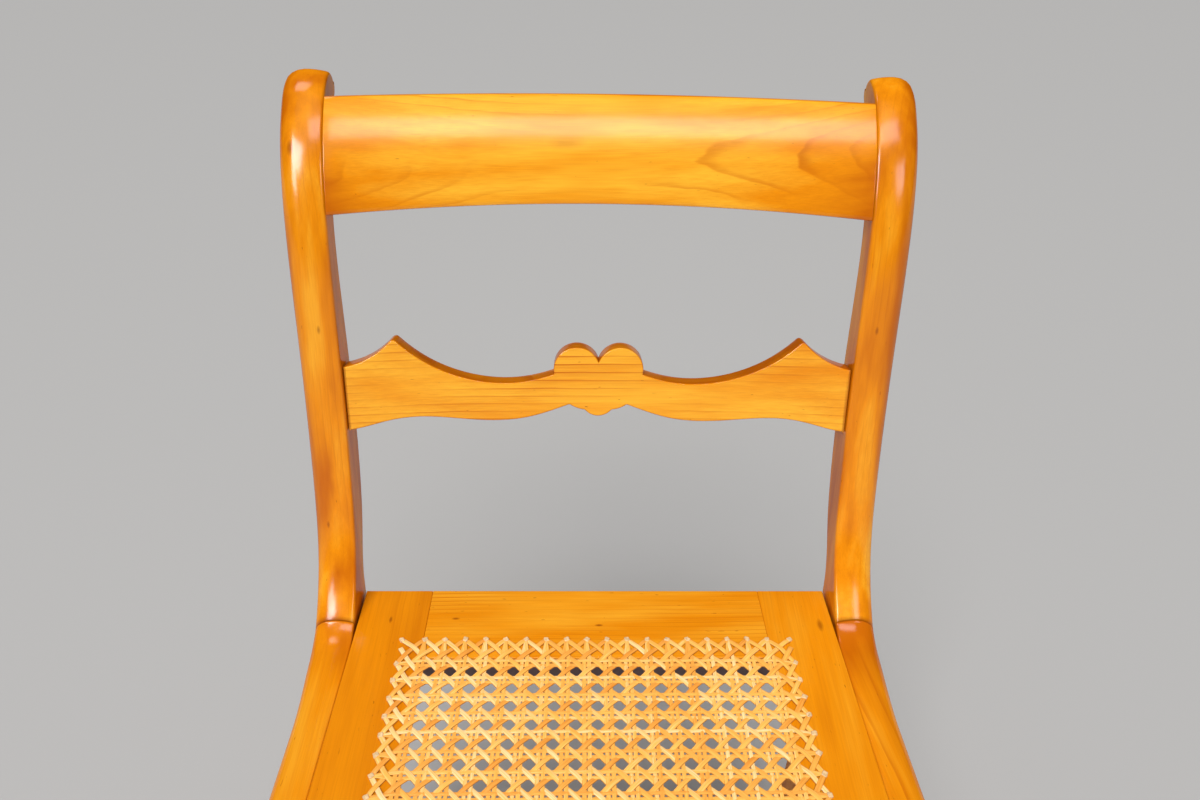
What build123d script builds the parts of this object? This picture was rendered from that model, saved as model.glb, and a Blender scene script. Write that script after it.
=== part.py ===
from build123d import *
import os
from math import asin, atan2, cos, degrees, radians, sin

# A side chair with a caned seat. Each rear post is one S-curved piece from its rolled top to the
# rear foot. A bowed crest rail and a bowed, sawn cross rail are tenoned between the posts, side
# rails sweep up into the posts, and sabre legs stand at the front. The caned frame drops between
# the side rails and is screwed up through corner blocks.
# +X is to the right seen from the front, +Y is to the back, +Z is up. The origin is on the floor
# under the middle of the chair. Sizes are in millimetres, and angles in degrees.

# Cane
cane_pitch = 15.5  # spacing of the border holes and of the open gaps
cane_columns = 17  # open gaps from side to side
cane_rows = 16  # open gaps from front to back
cane_thickness = 1.8
gap_slant = 5.4  # centre of a gap to its slanting edge, measured along a row
gap_half_width = 4.7
gap_half_depth = 4.2
side_pair_gap = 1.6  # outermost front-to-back pair of strands to the edge of the opening
end_pair_gap = 6.2  # outermost side-to-side pair of strands to the edge of the opening
peg_diameter = 5.0
peg_length = 18.0
peg_proud = 0.8
peg_fit = 0.1
peg_to_cane = 0.2

# Caned frame
seat_height = 455.0  # floor to the top of the frame
frame_thickness = 22.0
side_member_width = 55.0
end_member_width = 70.0
hole_inset_side = 16.0  # line of border holes to the edge of the opening, at the sides
hole_inset_end = 17.0  # the same at the front and the rear
nose_radius = 6.0
frame_tenon_length = 24.0
frame_tenon_thickness = 8.0
frame_tenon_shoulder = 12.0
seat_gap = 0.3  # frame to the rails and posts beside it

# Rear posts, seen from the side
post_width = 31.0
edge_round = 8.0  # outer edge of posts, side rails and front legs
arris_round = 1.5  # inner front edge of the posts
joint_inset = 39.0  # rail joint, in front of the rear edge of the seat
joint_rise = 7.5  # rail joint, above the seat
horn_angle = 46.0  # slope of the post's front at the rail joint, from upright
back_height = 384.0  # top of the post above the seat
scroll_back = 112.2  # middle of the rounded end behind the rear edge of the seat
scroll_radius = 11.0
scroll_turn = 68.0  # how far the rounded end turns under, past level
roll_radius = 43.0  # backward roll of the post's front, below the rounded end
roll_start = 44.0  # slopes where the roll starts and ends, from upright
roll_end = 74.0
knee_back = 2.0  # hollow of the post's rear edge, behind the rear edge of the seat
knee_drop = 50.0
heel_back = 48.0  # heel behind the rear edge of the seat
foot_depth = 32.0
heel_slope = 24.0  # slope of the rear leg at the floor, from upright

# Seat rails and front legs
rail_drop = 62.0  # underside of the rails below the seat
rail_top_drop = 2.0  # top of the side rails below the seat
cross_rail_thickness = 24.0
rear_rail_inset = 2.0  # front face of the rear rail behind the rail joint
front_rail_setback = 6.0  # front face of the front rail behind the front of the legs
leg_depth = 44.0
leg_brow = 16.0  # rounding of the front leg's top
toe_reach = 20.0  # toe in front of the seat
toe_depth = 30.0
toe_slope = 9.0

# Bowed rails between the posts
sweep_margin = 1.2  # each is cut to length from a longer sweep

# Crest rail
crest_drop = 12.0  # top of the crest below the top of the posts
crest_height = 71.0
crest_thickness = 22.0
crest_bow = 17.0
crest_arch = 4.0  # middle of the sawn lower edge above its ends
crest_trim = 0.4  # depth of that saw cut at the posts

# Sawn cross rail, measured up its leaning face from its lower corners
mid_low = 142.0  # lower corners above the seat
mid_height = 50.0  # height at the posts
mid_thickness = 15.0
mid_bow = 10.0
mid_setback = 6.0  # face behind the front of the posts
wing_inset = 37.0  # tip of the wing from the post
wing_tip = 69.9
wing_round = 2.8  # half the width of the rounded tip
lobe_spread = 16.4  # middle of a lobe from the middle of the rail
lobe_rise = 45.9
lobe_radius = 17.4
lobe_foot = 42.4
scoop_reach = 67.0  # lowest point of the top edge from the middle of the rail
scoop_rise = 35.6
cusp_reach = 21.8
cusp_rise = 18.2
pendant_tip = 8.8
pendant_shoulder = 13.8
pendant_width = 10.2
lower_edge = [(32.6, 7.2), (53.0, 9.3), (93.0, 6.2), (133.75, 7.6)]  # in from the post, and up
wing_flank = (66.0, 48.6)  # top edge on the inner side of the wing, in from the post, and up
wing_shoulder = (20.6, 57.6)  # the same on the outer side
wing_inner_drop = 1.7  # where the rounded tip starts and ends, below the tip
wing_outer_drop = 1.3
lower_slopes = ((-1, 0.1), (-1, 0.38))  # directions at the ends of the lower edge's curves
cusp_slopes = ((-0.8, -0.6), (-1, -0.1))
pendant_slopes = ((-0.6, -0.8), (-1, 0))

# Joinery
tenon_thickness = 9.0
mid_tenon_thickness = 7.0
side_tenon_inset = 17.0  # middle of the side rail's tenon from its inner face
side_tenon_height = 36.0
side_tenon_length = 16.0
cross_tenon_height = 28.0
cross_tenon_length = 11.0
back_tenon_length = 14.0
crest_tenon_height = 46.0
mid_tenon_height = 34.0
tenon_fit = 0.1
tenon_end_gap = 0.5
shoulder_gap = 0.2  # crest and cross rail to the posts

# Corner blocks and screws
block_leg = 48.0
block_height = 30.0
screw_inset = 17.0
screw_diameter = 4.0
screw_head = 8.4
screw_bite = 14.0
screw_point = 4.0
screw_tip = 1.0
screw_fit = 0.1

# Places that follow from the sizes above
opening_width = cane_columns * cane_pitch + 2 * side_pair_gap
opening_depth = cane_rows * cane_pitch + 2 * end_pair_gap
seat_half = opening_width / 2 + side_member_width
seat_depth = opening_depth + 2 * end_member_width
inner_half = seat_half + seat_gap
outer_half = inner_half + post_width
rail_half = inner_half - shoulder_gap
seat_back = (seat_depth + toe_reach - scroll_back - scroll_radius) / 2
seat_front = seat_back - seat_depth
seat_middle = (seat_back + seat_front) / 2
frame_under = seat_height - frame_thickness
rail_under = seat_height - rail_drop
rail_top = seat_height - rail_top_drop
joint_y = seat_back - joint_inset
leg_rear_y = seat_front + leg_depth


def side_point(back, up):
    """Side-view point, from the rear edge of the seat."""
    return (seat_back + back, seat_height + up)


def top_point(forward, down):
    """Side-view point, from the top of the rolled end."""
    return side_point(scroll_back - forward, back_height - down)


def slope_normal(slope):
    """Unit vector out of a post's front where it leans back by the given angle from upright."""
    return Vector(-cos(radians(slope)), sin(radians(slope)))


def at_height(curve, height):
    """Parameter of a rising side-view curve at the given height above the floor."""
    low = 0.0
    high = 1.0
    for _ in range(40):
        middle = (low + high) / 2
        if (curve @ middle).Y < height:
            low = middle
        else:
            high = middle
    return low


def even_curve(points, slopes):
    """A curve through the points with the given end directions, at an even pace up to its ends."""
    return Spline(*points, tangents=slopes, tangent_scalars=(1, 1))


def bow_radius(bow):
    """Radius of an arc that spans the posts and bows by the given amount."""
    return (inner_half**2 + bow**2) / (2 * bow)


def tongue(plane, thickness, height, length, mode=Mode.ADD):
    """A square-cut tongue that stands on the plane: a tenon, or a mortise when it is cut."""
    with BuildSketch(plane) as end:
        Rectangle(thickness, height)
    extrude(end.sketch, amount=length, mode=mode)


def mortise(plane, thickness, height, length):
    """The pocket for a tenon that stands on the plane."""
    tongue(plane, thickness + 2 * tenon_fit, height + 2 * tenon_fit, length + tenon_end_gap, Mode.SUBTRACT)


def leaning_plane(x, point, lean):
    """Plane across a rail's end, facing outwards, turned so that its height follows the lean."""
    return Plane((x, *point), x_dir=(0, cos(lean), -sin(lean)), z_dir=(1, 0, 0))


def left_twin(right_piece):
    """The left-hand piece that mirrors a right-hand one."""
    with BuildPart() as twin:
        mirror(right_piece.part, about=Plane.YZ)
    return twin


# Front curve of the post, from the rail joint to the rounded end
scroll_middle = Vector(*top_point(0, scroll_radius))
horn_direction = (sin(radians(horn_angle)), cos(radians(horn_angle)))
roll_direction = (sin(radians(roll_start)), cos(radians(roll_start)))
roll_top = scroll_middle + slope_normal(roll_end) * scroll_radius
roll_middle = roll_top - slope_normal(roll_end) * roll_radius
roll_foot = roll_middle + slope_normal(roll_start) * roll_radius
roll_arc = [roll_foot, roll_middle + slope_normal((roll_start + roll_end) / 2) * roll_radius, roll_top]
stile_points = [
    side_point(-joint_inset, joint_rise),
    side_point(-15.0, 37.0),
    side_point(8.0, 98.7),
    side_point(29.5, back_height - 190.7),
    top_point(69.0, 117.7),
    top_point(55.0, 65.0),
    top_point(37.0, 29.3),
    roll_foot,
]
stile_slopes = (horn_direction, roll_direction)
stile_curve = Wire([even_curve(stile_points, stile_slopes), ThreePointArc(*roll_arc)])

# Ends of the crest's section on the post's front curve, and the middle of its thickness
crest_top_at = at_height(stile_curve, seat_height + back_height - crest_drop)
crest_low_at = at_height(stile_curve, seat_height + back_height - crest_drop - crest_height)
crest_stations = [crest_low_at + (crest_top_at - crest_low_at) * step / 4 for step in range(5)]
crest_front = [stile_curve @ station for station in crest_stations]
crest_normals = [(stile_curve % station).rotate(Axis.Z, -90) for station in crest_stations]
crest_rear = [point + normal * crest_thickness for point, normal in zip(crest_front, crest_normals)]
crest_middle = crest_front[2] + crest_normals[2] * (crest_thickness / 2)
crest_lean = atan2(crest_front[-1].X - crest_front[0].X, crest_front[-1].Y - crest_front[0].Y)
crest_tenon_plane = leaning_plane(rail_half, (crest_middle.X, crest_middle.Y), crest_lean)
crest_mortise_plane = crest_tenon_plane.offset(inner_half - rail_half)
crest_axis_y = crest_middle.X + crest_bow - bow_radius(crest_bow)
crest_facing = (0, -crest_normals[0].X, -crest_normals[0].Y)
crest_saw_plane = Plane((0, crest_front[0].X, crest_front[0].Y), x_dir=(1, 0, 0), z_dir=crest_facing)
crest_saw_rise = crest_bow * -crest_normals[0].Y + crest_arch

# Leaning face of the sawn cross rail at the posts
mid_base = stile_curve @ at_height(stile_curve, seat_height + mid_low)
mid_upper = stile_curve @ at_height(stile_curve, seat_height + mid_low + mid_height)
mid_lean = atan2(mid_upper.X - mid_base.X, mid_upper.Y - mid_base.Y)
mid_up = Vector(sin(mid_lean), cos(mid_lean))
mid_inward = Vector(cos(mid_lean), -sin(mid_lean))
mid_corner = mid_base + Vector(mid_setback, 0)
mid_middle = mid_corner + mid_up * (mid_height / 2) + mid_inward * (mid_thickness / 2)
mid_tenon_plane = leaning_plane(rail_half, (mid_middle.X, mid_middle.Y), mid_lean)
mid_mortise_plane = mid_tenon_plane.offset(inner_half - rail_half)
mid_axis_y = mid_middle.X + mid_bow - bow_radius(mid_bow)

# Planes of the seat rails' tenons, facing the way the tenons point
side_tenon_x = inner_half + side_tenon_inset
side_tenon_z = (rail_top + rail_under) / 2
side_rear_plane = Plane((side_tenon_x, joint_y, side_tenon_z), x_dir=(1, 0, 0), z_dir=(0, 1, 0))
side_front_plane = Plane((side_tenon_x, leg_rear_y, side_tenon_z), x_dir=(1, 0, 0), z_dir=(0, -1, 0))
cross_tenon_z = (frame_under + rail_under) / 2
rear_rail_y = joint_y + rear_rail_inset + cross_rail_thickness / 2
front_rail_y = seat_front + front_rail_setback + cross_rail_thickness / 2
rear_cross_plane = Plane((inner_half, rear_rail_y, cross_tenon_z), x_dir=(0, 1, 0), z_dir=(1, 0, 0))
front_cross_plane = Plane((inner_half, front_rail_y, cross_tenon_z), x_dir=(0, 1, 0), z_dir=(1, 0, 0))

# Border holes: a row at each end with a hole in each corner, and a row at each side
pair_x = [(column - cane_columns / 2) * cane_pitch for column in range(cane_columns + 1)]
pair_y = [seat_middle + (row - cane_rows / 2) * cane_pitch for row in range(cane_rows + 1)]
hole_x = opening_width / 2 + hole_inset_side
hole_y = opening_depth / 2 + hole_inset_end
end_row = [-hole_x, *pair_x, hole_x]
border_holes = [(x, seat_middle + side * hole_y) for side in (-1, 1) for x in end_row]
border_holes += [(side * hole_x, y) for side in (-1, 1) for y in pair_y]

# Rear post, drawn from the side and cut to its width
scroll_under = scroll_middle + Vector(scroll_radius, 0).rotate(Axis.Z, -scroll_turn)
under_direction = (-sin(radians(scroll_turn)), -cos(radians(scroll_turn)))
knee = side_point(knee_back, -knee_drop)
heel = side_point(heel_back, -seat_height)
foot_front = side_point(heel_back - foot_depth, -seat_height)
foot_slope = Vector(sin(radians(heel_slope)), -cos(radians(heel_slope)))
joint_foot = (joint_y, rail_under)
stile_rear = [
    scroll_under,
    top_point(15.0, 35.3),
    top_point(29.5, 62.3),
    top_point(41.0, 94.3),
    side_point(62.0, back_height - 150.0),
    side_point(46.0, 119.0),
    side_point(37.0, 86.0),
    side_point(24.7, 54.7),
    side_point(9.4, 25.1),
    knee,
]
with BuildPart() as rear_post_right:
    with BuildSketch(Plane.YZ.offset(inner_half)):
        with BuildLine():
            even_curve(stile_points, stile_slopes)
            ThreePointArc(*roll_arc)
            ThreePointArc(roll_top, scroll_middle + Vector(scroll_radius, 0), scroll_under)
            even_curve(stile_rear, (under_direction, (0, -1)))
            Spline(knee, heel, tangents=((0, -1), foot_slope))
            Line(heel, foot_front)
            Spline(foot_front, joint_foot, tangents=(-foot_slope, (0, 1)))
            Line(joint_foot, stile_points[0])
        make_face()
    extrude(amount=post_width)
    stile_middle = stile_curve @ 0.5
    outer_edges = rear_post_right.faces().sort_by(Axis.X)[-1].edges()
    fillet(outer_edges.sort_by_distance((outer_half, stile_middle.X, stile_middle.Y))[0], radius=edge_round)
    inner_edges = rear_post_right.faces().sort_by(Axis.X)[0].edges()
    fillet(inner_edges.sort_by_distance((inner_half, stile_middle.X, stile_middle.Y))[0], radius=arris_round)
    mortise(crest_mortise_plane, tenon_thickness, crest_tenon_height, back_tenon_length)
    mortise(mid_mortise_plane, mid_tenon_thickness, mid_tenon_height, back_tenon_length)
    mortise(rear_cross_plane, tenon_thickness, cross_tenon_height, cross_tenon_length)
    mortise(side_rear_plane, tenon_thickness, side_tenon_height, side_tenon_length)

# Crest rail: its section follows the front of the posts and is carried round the bow
crest_shift = Vector(crest_bow, 0)
with BuildPart() as crest_rail:
    with BuildSketch(Plane.YZ):
        with BuildLine():
            Spline(*[point + crest_shift for point in crest_front])
            Line(crest_front[-1] + crest_shift, crest_rear[-1] + crest_shift)
            Spline(*[point + crest_shift for point in reversed(crest_rear)])
            Line(crest_rear[0] + crest_shift, crest_front[0] + crest_shift)
        make_face()
    crest_sweep = sweep_margin * degrees(asin(inner_half / bow_radius(crest_bow)))
    revolve(axis=Axis((0, crest_axis_y, 0), (0, 0, -1)), revolution_arc=crest_sweep)
    split(bisect_by=Plane.YZ.offset(rail_half), keep=Keep.BOTTOM)
    with BuildSketch(crest_saw_plane):
        with BuildLine():
            saw_quarter = crest_trim + 0.75 * (crest_saw_rise - crest_trim)
            Line((0, -crest_thickness), (0, crest_saw_rise))
            ThreePointArc((0, crest_saw_rise), (inner_half / 2, saw_quarter), (inner_half, crest_trim))
            Line((inner_half, crest_trim), (inner_half, -crest_thickness))
            Line((inner_half, -crest_thickness), (0, -crest_thickness))
        make_face()
    extrude(amount=2 * (crest_bow + crest_thickness), both=True, mode=Mode.SUBTRACT)
    tongue(crest_tenon_plane, tenon_thickness, crest_tenon_height, back_tenon_length)
    mirror(about=Plane.YZ)


def in_from_post(inward, up):
    """Point on the sawn outline, from the post and up from the lower corner."""
    return (rail_half - inward, up)


# Sawn cross rail: a leaning board carried round its bow, then cut to its outline
wing_x = rail_half - wing_inset
wing_inner = (wing_x - wing_round, wing_tip - wing_inner_drop)
wing_outer = (wing_x + wing_round, wing_tip - wing_outer_drop)
cusp = (cusp_reach, cusp_rise)
pendant_corner = (pendant_width, pendant_shoulder)
board_height = 2 * wing_tip
outline_facing = (0, -cos(mid_lean), sin(mid_lean))
outline_plane = Plane((0, mid_corner.X, mid_corner.Y), x_dir=(1, 0, 0), z_dir=outline_facing)
board_end = rail_half + mid_thickness
lobe_notch = lobe_rise + (lobe_radius**2 - lobe_spread**2) ** 0.5
lobe_side = lobe_spread + (lobe_radius**2 - (lobe_rise - lobe_foot) ** 2) ** 0.5
with BuildPart() as mid_rail:
    with BuildSketch(Plane.YZ):
        with Locations((mid_middle.X + mid_bow, mid_middle.Y)):
            Rectangle(mid_thickness, board_height, rotation=-degrees(mid_lean))
    mid_sweep = sweep_margin * degrees(asin(inner_half / bow_radius(mid_bow)))
    revolve(axis=Axis((0, mid_axis_y, 0), (0, 0, -1)), revolution_arc=mid_sweep)
    split(bisect_by=Plane.YZ.offset(rail_half), keep=Keep.BOTTOM)
    with BuildSketch(outline_plane):
        with BuildLine():
            Line((board_end, 0), (rail_half, 0))
            even_curve([(rail_half, 0), *[in_from_post(*place) for place in lower_edge], cusp], lower_slopes)
            Spline(cusp, pendant_corner, tangents=cusp_slopes)
            Spline(pendant_corner, (0, pendant_tip), tangents=pendant_slopes)
            Line((0, pendant_tip), (0, lobe_notch))
            ThreePointArc((0, lobe_notch), (lobe_spread, lobe_rise + lobe_radius), (lobe_side, lobe_foot))
            Spline((lobe_side, lobe_foot), (scoop_reach, scoop_rise), in_from_post(*wing_flank), wing_inner)
            ThreePointArc(wing_inner, (wing_x, wing_tip), wing_outer)
            Spline(wing_outer, in_from_post(*wing_shoulder), (rail_half, mid_height))
            Line((rail_half, mid_height), (board_end, mid_height))
            Line((board_end, mid_height), (board_end, 0))
        make_face()
    extrude(amount=2 * (mid_bow + mid_thickness), both=True, mode=Mode.INTERSECT)
    tongue(mid_tenon_plane, mid_tenon_thickness, mid_tenon_height, back_tenon_length)
    mirror(about=Plane.YZ)

# Side rail: level along the seat, then swept up to the post
sweep_angle = 90 - horn_angle
sweep_radius = (joint_rise + rail_top_drop) / (1 - cos(radians(sweep_angle)))
sweep_start = (joint_y - sweep_radius * sin(radians(sweep_angle)), rail_top)
with BuildPart() as side_rail_right:
    with BuildSketch(Plane.YZ.offset(inner_half)):
        with BuildLine():
            Line((leg_rear_y, rail_top), sweep_start)
            JernArc(sweep_start, (1, 0), sweep_radius, sweep_angle)
            Line(stile_points[0], joint_foot)
            Line(joint_foot, (leg_rear_y, rail_under))
            Line((leg_rear_y, rail_under), (leg_rear_y, rail_top))
        make_face()
    extrude(amount=post_width)
    rail_edges = side_rail_right.faces().sort_by(Axis.X)[-1].edges()
    fillet(rail_edges.sort_by_distance((outer_half, leg_rear_y + leg_depth, rail_top))[0], radius=edge_round)
    tongue(side_rear_plane, tenon_thickness, side_tenon_height, side_tenon_length)
    tongue(side_front_plane, tenon_thickness, side_tenon_height, side_tenon_length)

# Front leg: a sabre leg whose rounded top runs on from the side rail
toe = (seat_front - toe_reach, 0)
toe_rear = (seat_front - toe_reach + toe_depth, 0)
toe_direction = Vector(-sin(radians(toe_slope)), -cos(radians(toe_slope)))
with BuildPart() as front_leg_right:
    with BuildSketch(Plane.YZ.offset(inner_half)):
        with BuildLine():
            Line((leg_rear_y, rail_under), (leg_rear_y, rail_top))
            Line((leg_rear_y, rail_top), (seat_front + leg_brow, rail_top))
            JernArc((seat_front + leg_brow, rail_top), (-1, 0), leg_brow, 90)
            Spline((seat_front, rail_top - leg_brow), toe, tangents=((0, -1), toe_direction))
            Line(toe, toe_rear)
            Spline(toe_rear, (leg_rear_y, rail_under), tangents=(-toe_direction, (0, 1)))
        make_face()
    extrude(amount=post_width)
    leg_edges = front_leg_right.faces().sort_by(Axis.X)[-1].edges()
    fillet(leg_edges.sort_by_distance((outer_half, leg_rear_y, rail_top))[0], radius=edge_round)
    mortise(side_front_plane, tenon_thickness, side_tenon_height, side_tenon_length)
    mortise(front_cross_plane, tenon_thickness, cross_tenon_height, cross_tenon_length)


def cross_rail(y, tenon_plane):
    """A straight rail between the posts or the front legs, under the caned frame."""
    with BuildPart() as rail:
        with Locations((0, y, (frame_under + rail_under) / 2)):
            Box(2 * inner_half, cross_rail_thickness, frame_under - rail_under)
        tongue(tenon_plane, tenon_thickness, cross_tenon_height, cross_tenon_length)
        tongue(tenon_plane.rotated((0, 180, 0)).offset(2 * inner_half), tenon_thickness, cross_tenon_height,
               cross_tenon_length)
    return rail


rear_seat_rail = cross_rail(rear_rail_y, rear_cross_plane)
front_seat_rail = cross_rail(front_rail_y, front_cross_plane)

# Caned frame: the side members run through, and the end members are tenoned into them
frame_z = seat_height - frame_thickness / 2
frame_tenon_height = end_member_width - 2 * frame_tenon_shoulder
member_x = opening_width / 2
rear_member_y = seat_back - end_member_width / 2
front_member_y = seat_front + end_member_width / 2


def frame_tenon_plane(y):
    """Plane on the end of a front or rear member, facing the side member."""
    return Plane((member_x, y, frame_z), x_dir=(0, 0, 1), z_dir=(1, 0, 0))


def drill_border():
    """Drill the border holes through a member, and across its joints."""
    with Locations(*[(x, y, seat_height) for x, y in border_holes]):
        Hole(peg_diameter / 2 + peg_fit)


def round_nose(member):
    """Round the upper front edge of a member."""
    front_edges = member.edges().filter_by(Axis.X).group_by(Axis.Y)[0]
    fillet(front_edges.sort_by(Axis.Z)[-1], radius=nose_radius)


# Screws go up through the blocks in the four corners, into the side members
screw_x = inner_half - screw_inset
rear_corner_y = joint_y + rear_rail_inset
front_corner_y = seat_front + front_rail_setback + cross_rail_thickness
screw_rows = (rear_corner_y - screw_inset, front_corner_y + screw_inset)
screw_radius = screw_diameter / 2
block_under = frame_under - block_height

with BuildPart() as seat_frame_right:
    with Locations((member_x + side_member_width / 2, seat_middle, frame_z)):
        Box(side_member_width, seat_depth, frame_thickness)
    round_nose(seat_frame_right)
    for member_y in (rear_member_y, front_member_y):
        mortise(frame_tenon_plane(member_y), frame_tenon_thickness, frame_tenon_height, frame_tenon_length)
    drill_border()
    with Locations(*[Location((screw_x, y, frame_under), (180, 0, 0)) for y in screw_rows]):
        Hole(screw_radius + screw_fit, depth=screw_bite + screw_fit)


def end_member(y, rounded):
    """The front or the rear member of the caned frame."""
    with BuildPart() as member:
        with Locations((0, y, frame_z)):
            Box(opening_width, end_member_width, frame_thickness)
        if rounded:
            round_nose(member)
        tongue(frame_tenon_plane(y), frame_tenon_thickness, frame_tenon_height, frame_tenon_length)
        tongue(frame_tenon_plane(y).rotated((0, 180, 0)).offset(opening_width), frame_tenon_thickness,
               frame_tenon_height, frame_tenon_length)
        drill_border()
    return member


seat_frame_rear = end_member(rear_member_y, False)
seat_frame_front = end_member(front_member_y, True)

# Woven cane: a thin net on the frame, with a blunted diamond at each open gap
panel_width = 2 * (hole_x - peg_diameter / 2 - peg_fit - peg_to_cane)
panel_depth = 2 * (hole_y - peg_diameter / 2 - peg_fit - peg_to_cane)
gap_corners = [
    (gap_half_width, gap_slant - gap_half_width),
    (gap_slant - gap_half_depth, gap_half_depth),
    (gap_half_depth - gap_slant, gap_half_depth),
    (-gap_half_width, gap_slant - gap_half_width),
    (-gap_half_width, gap_half_width - gap_slant),
    (gap_half_depth - gap_slant, -gap_half_depth),
    (gap_slant - gap_half_depth, -gap_half_depth),
    (gap_half_width, gap_half_width - gap_slant),
]
with BuildPart() as cane_panel:
    with BuildSketch(Plane((0, seat_middle, seat_height))):
        Rectangle(panel_width, panel_depth)
        with GridLocations(cane_pitch, cane_pitch, cane_columns, cane_rows):
            Polygon(*gap_corners, align=None, mode=Mode.SUBTRACT)
    extrude(amount=cane_thickness)

with BuildPart() as cane_pegs:
    with Locations(*[(x, y, seat_height + peg_proud) for x, y in border_holes]):
        Cylinder(peg_diameter / 2, peg_length, align=(Align.CENTER, Align.CENTER, Align.MAX))


def corner_block(corner_y, reach):
    """A right-hand three-cornered block, from the corner along the side rail by the given reach."""
    with BuildPart() as block:
        with BuildSketch(Plane.XY.offset(block_under)) as plan:
            along_side = (inner_half, corner_y + reach)
            along_rail = (inner_half - block_leg, corner_y)
            Polygon((inner_half, corner_y), along_side, along_rail, align=None)
        extrude(plan.sketch, amount=block_height)
        screw_y = corner_y + screw_inset * reach / block_leg
        with Locations(Location((screw_x, screw_y, block_under), (180, 0, 0))):
            CounterSinkHole(screw_radius + screw_fit, screw_head / 2 + screw_fit, counter_sink_angle=90)
    return block


corner_block_rear_right = corner_block(rear_corner_y, -block_leg)
corner_block_front_right = corner_block(front_corner_y, block_leg)

# Countersunk wood screws, one in each block
screw_head_height = (screw_head - screw_diameter) / 2
shank_length = block_height + screw_bite - screw_head_height - screw_point
screw_places = [(side * screw_x, y) for side in (-1, 1) for y in screw_rows]
upright = (Align.CENTER, Align.CENTER, Align.MIN)
with BuildPart() as seat_screws:
    with Locations(*[(x, y, block_under) for x, y in screw_places]):
        Cone(screw_head / 2, screw_radius, screw_head_height, align=upright)
    with Locations(*[(x, y, block_under + screw_head_height) for x, y in screw_places]):
        Cylinder(screw_radius, shank_length, align=upright)
    with Locations(*[(x, y, block_under + screw_head_height + shank_length) for x, y in screw_places]):
        Cone(screw_radius, screw_tip / 2, screw_point, align=upright)

pieces = {
    "rear_post_right": rear_post_right,
    "rear_post_left": left_twin(rear_post_right),
    "crest_rail": crest_rail,
    "mid_rail": mid_rail,
    "side_rail_right": side_rail_right,
    "side_rail_left": left_twin(side_rail_right),
    "front_leg_right": front_leg_right,
    "front_leg_left": left_twin(front_leg_right),
    "rear_seat_rail": rear_seat_rail,
    "front_seat_rail": front_seat_rail,
    "seat_frame_right": seat_frame_right,
    "seat_frame_left": left_twin(seat_frame_right),
    "seat_frame_rear": seat_frame_rear,
    "seat_frame_front": seat_frame_front,
    "cane_panel": cane_panel,
    "cane_pegs": cane_pegs,
    "corner_block_rear_right": corner_block_rear_right,
    "corner_block_rear_left": left_twin(corner_block_rear_right),
    "corner_block_front_right": corner_block_front_right,
    "corner_block_front_left": left_twin(corner_block_front_right),
    "seat_screws": seat_screws,
}
os.makedirs("parts", exist_ok=True)
for node_name, piece in pieces.items():
    piece.part.label = node_name
    export_step(piece.part, f"parts/{node_name}.step")
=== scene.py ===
"""Looks of a caned side chair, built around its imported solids.

Shapes are worked out in millimetres in the chair's own frame: +X to the right seen from the front,
+Y to the back and +Z up from the floor. Their points go into the meshes in metres.
"""

from math import atan2, cos, degrees, pi, radians, sin

import bpy
import numpy as np
from bpy.props import FloatProperty, FloatVectorProperty, PointerProperty
from mathutils import Euler, Matrix, Vector


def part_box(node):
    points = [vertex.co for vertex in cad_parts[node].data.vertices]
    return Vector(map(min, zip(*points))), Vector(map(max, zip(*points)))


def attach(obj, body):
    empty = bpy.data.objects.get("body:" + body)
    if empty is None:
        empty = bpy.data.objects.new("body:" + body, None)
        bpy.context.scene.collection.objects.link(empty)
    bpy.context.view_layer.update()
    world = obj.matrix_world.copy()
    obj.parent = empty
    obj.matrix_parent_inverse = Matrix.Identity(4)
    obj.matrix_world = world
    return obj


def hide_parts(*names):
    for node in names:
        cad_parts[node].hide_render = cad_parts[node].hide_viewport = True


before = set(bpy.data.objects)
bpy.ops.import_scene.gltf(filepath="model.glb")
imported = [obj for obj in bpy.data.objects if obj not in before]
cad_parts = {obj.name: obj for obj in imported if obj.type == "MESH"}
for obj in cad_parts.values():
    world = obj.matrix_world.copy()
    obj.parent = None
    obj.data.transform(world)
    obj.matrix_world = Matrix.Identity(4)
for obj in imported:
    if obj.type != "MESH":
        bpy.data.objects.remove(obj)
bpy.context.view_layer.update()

bl_info = {
    "name": "Caned side chair",
    "version": (1, 0, 0),
    "blender": (4, 5, 0),
    "location": "3D View > Sidebar > Chair",
    "description": "Dresses the chair's solids in polished cherry and woven cane",
    "category": "Object",
}

# Millimetres in a metre
MM = 1000.0


def node_box(node):
    """Lowest and highest corner of a solid, in millimetres."""
    low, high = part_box(node)
    return np.array(low) * MM, np.array(high) * MM


def linear(code):
    """An sRGB hex colour as linear red, green and blue."""
    parts = [int(code[place : place + 2], 16) / 255 for place in (1, 3, 5)]
    return tuple(part / 12.92 if part <= 0.04045 else ((part + 0.055) / 1.055) ** 2.4 for part in parts)


def length(label, words, size):
    """A length that a user may change, given in millimetres."""
    return FloatProperty(name=label, description=words, default=size / MM, min=0.0, unit="LENGTH")


def colour(label, words, code):
    """A colour that a user may change, given as sRGB hex."""
    tint = linear(code)
    return FloatVectorProperty(name=label, description=words, default=tint, subtype="COLOR", min=0, max=1)


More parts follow.
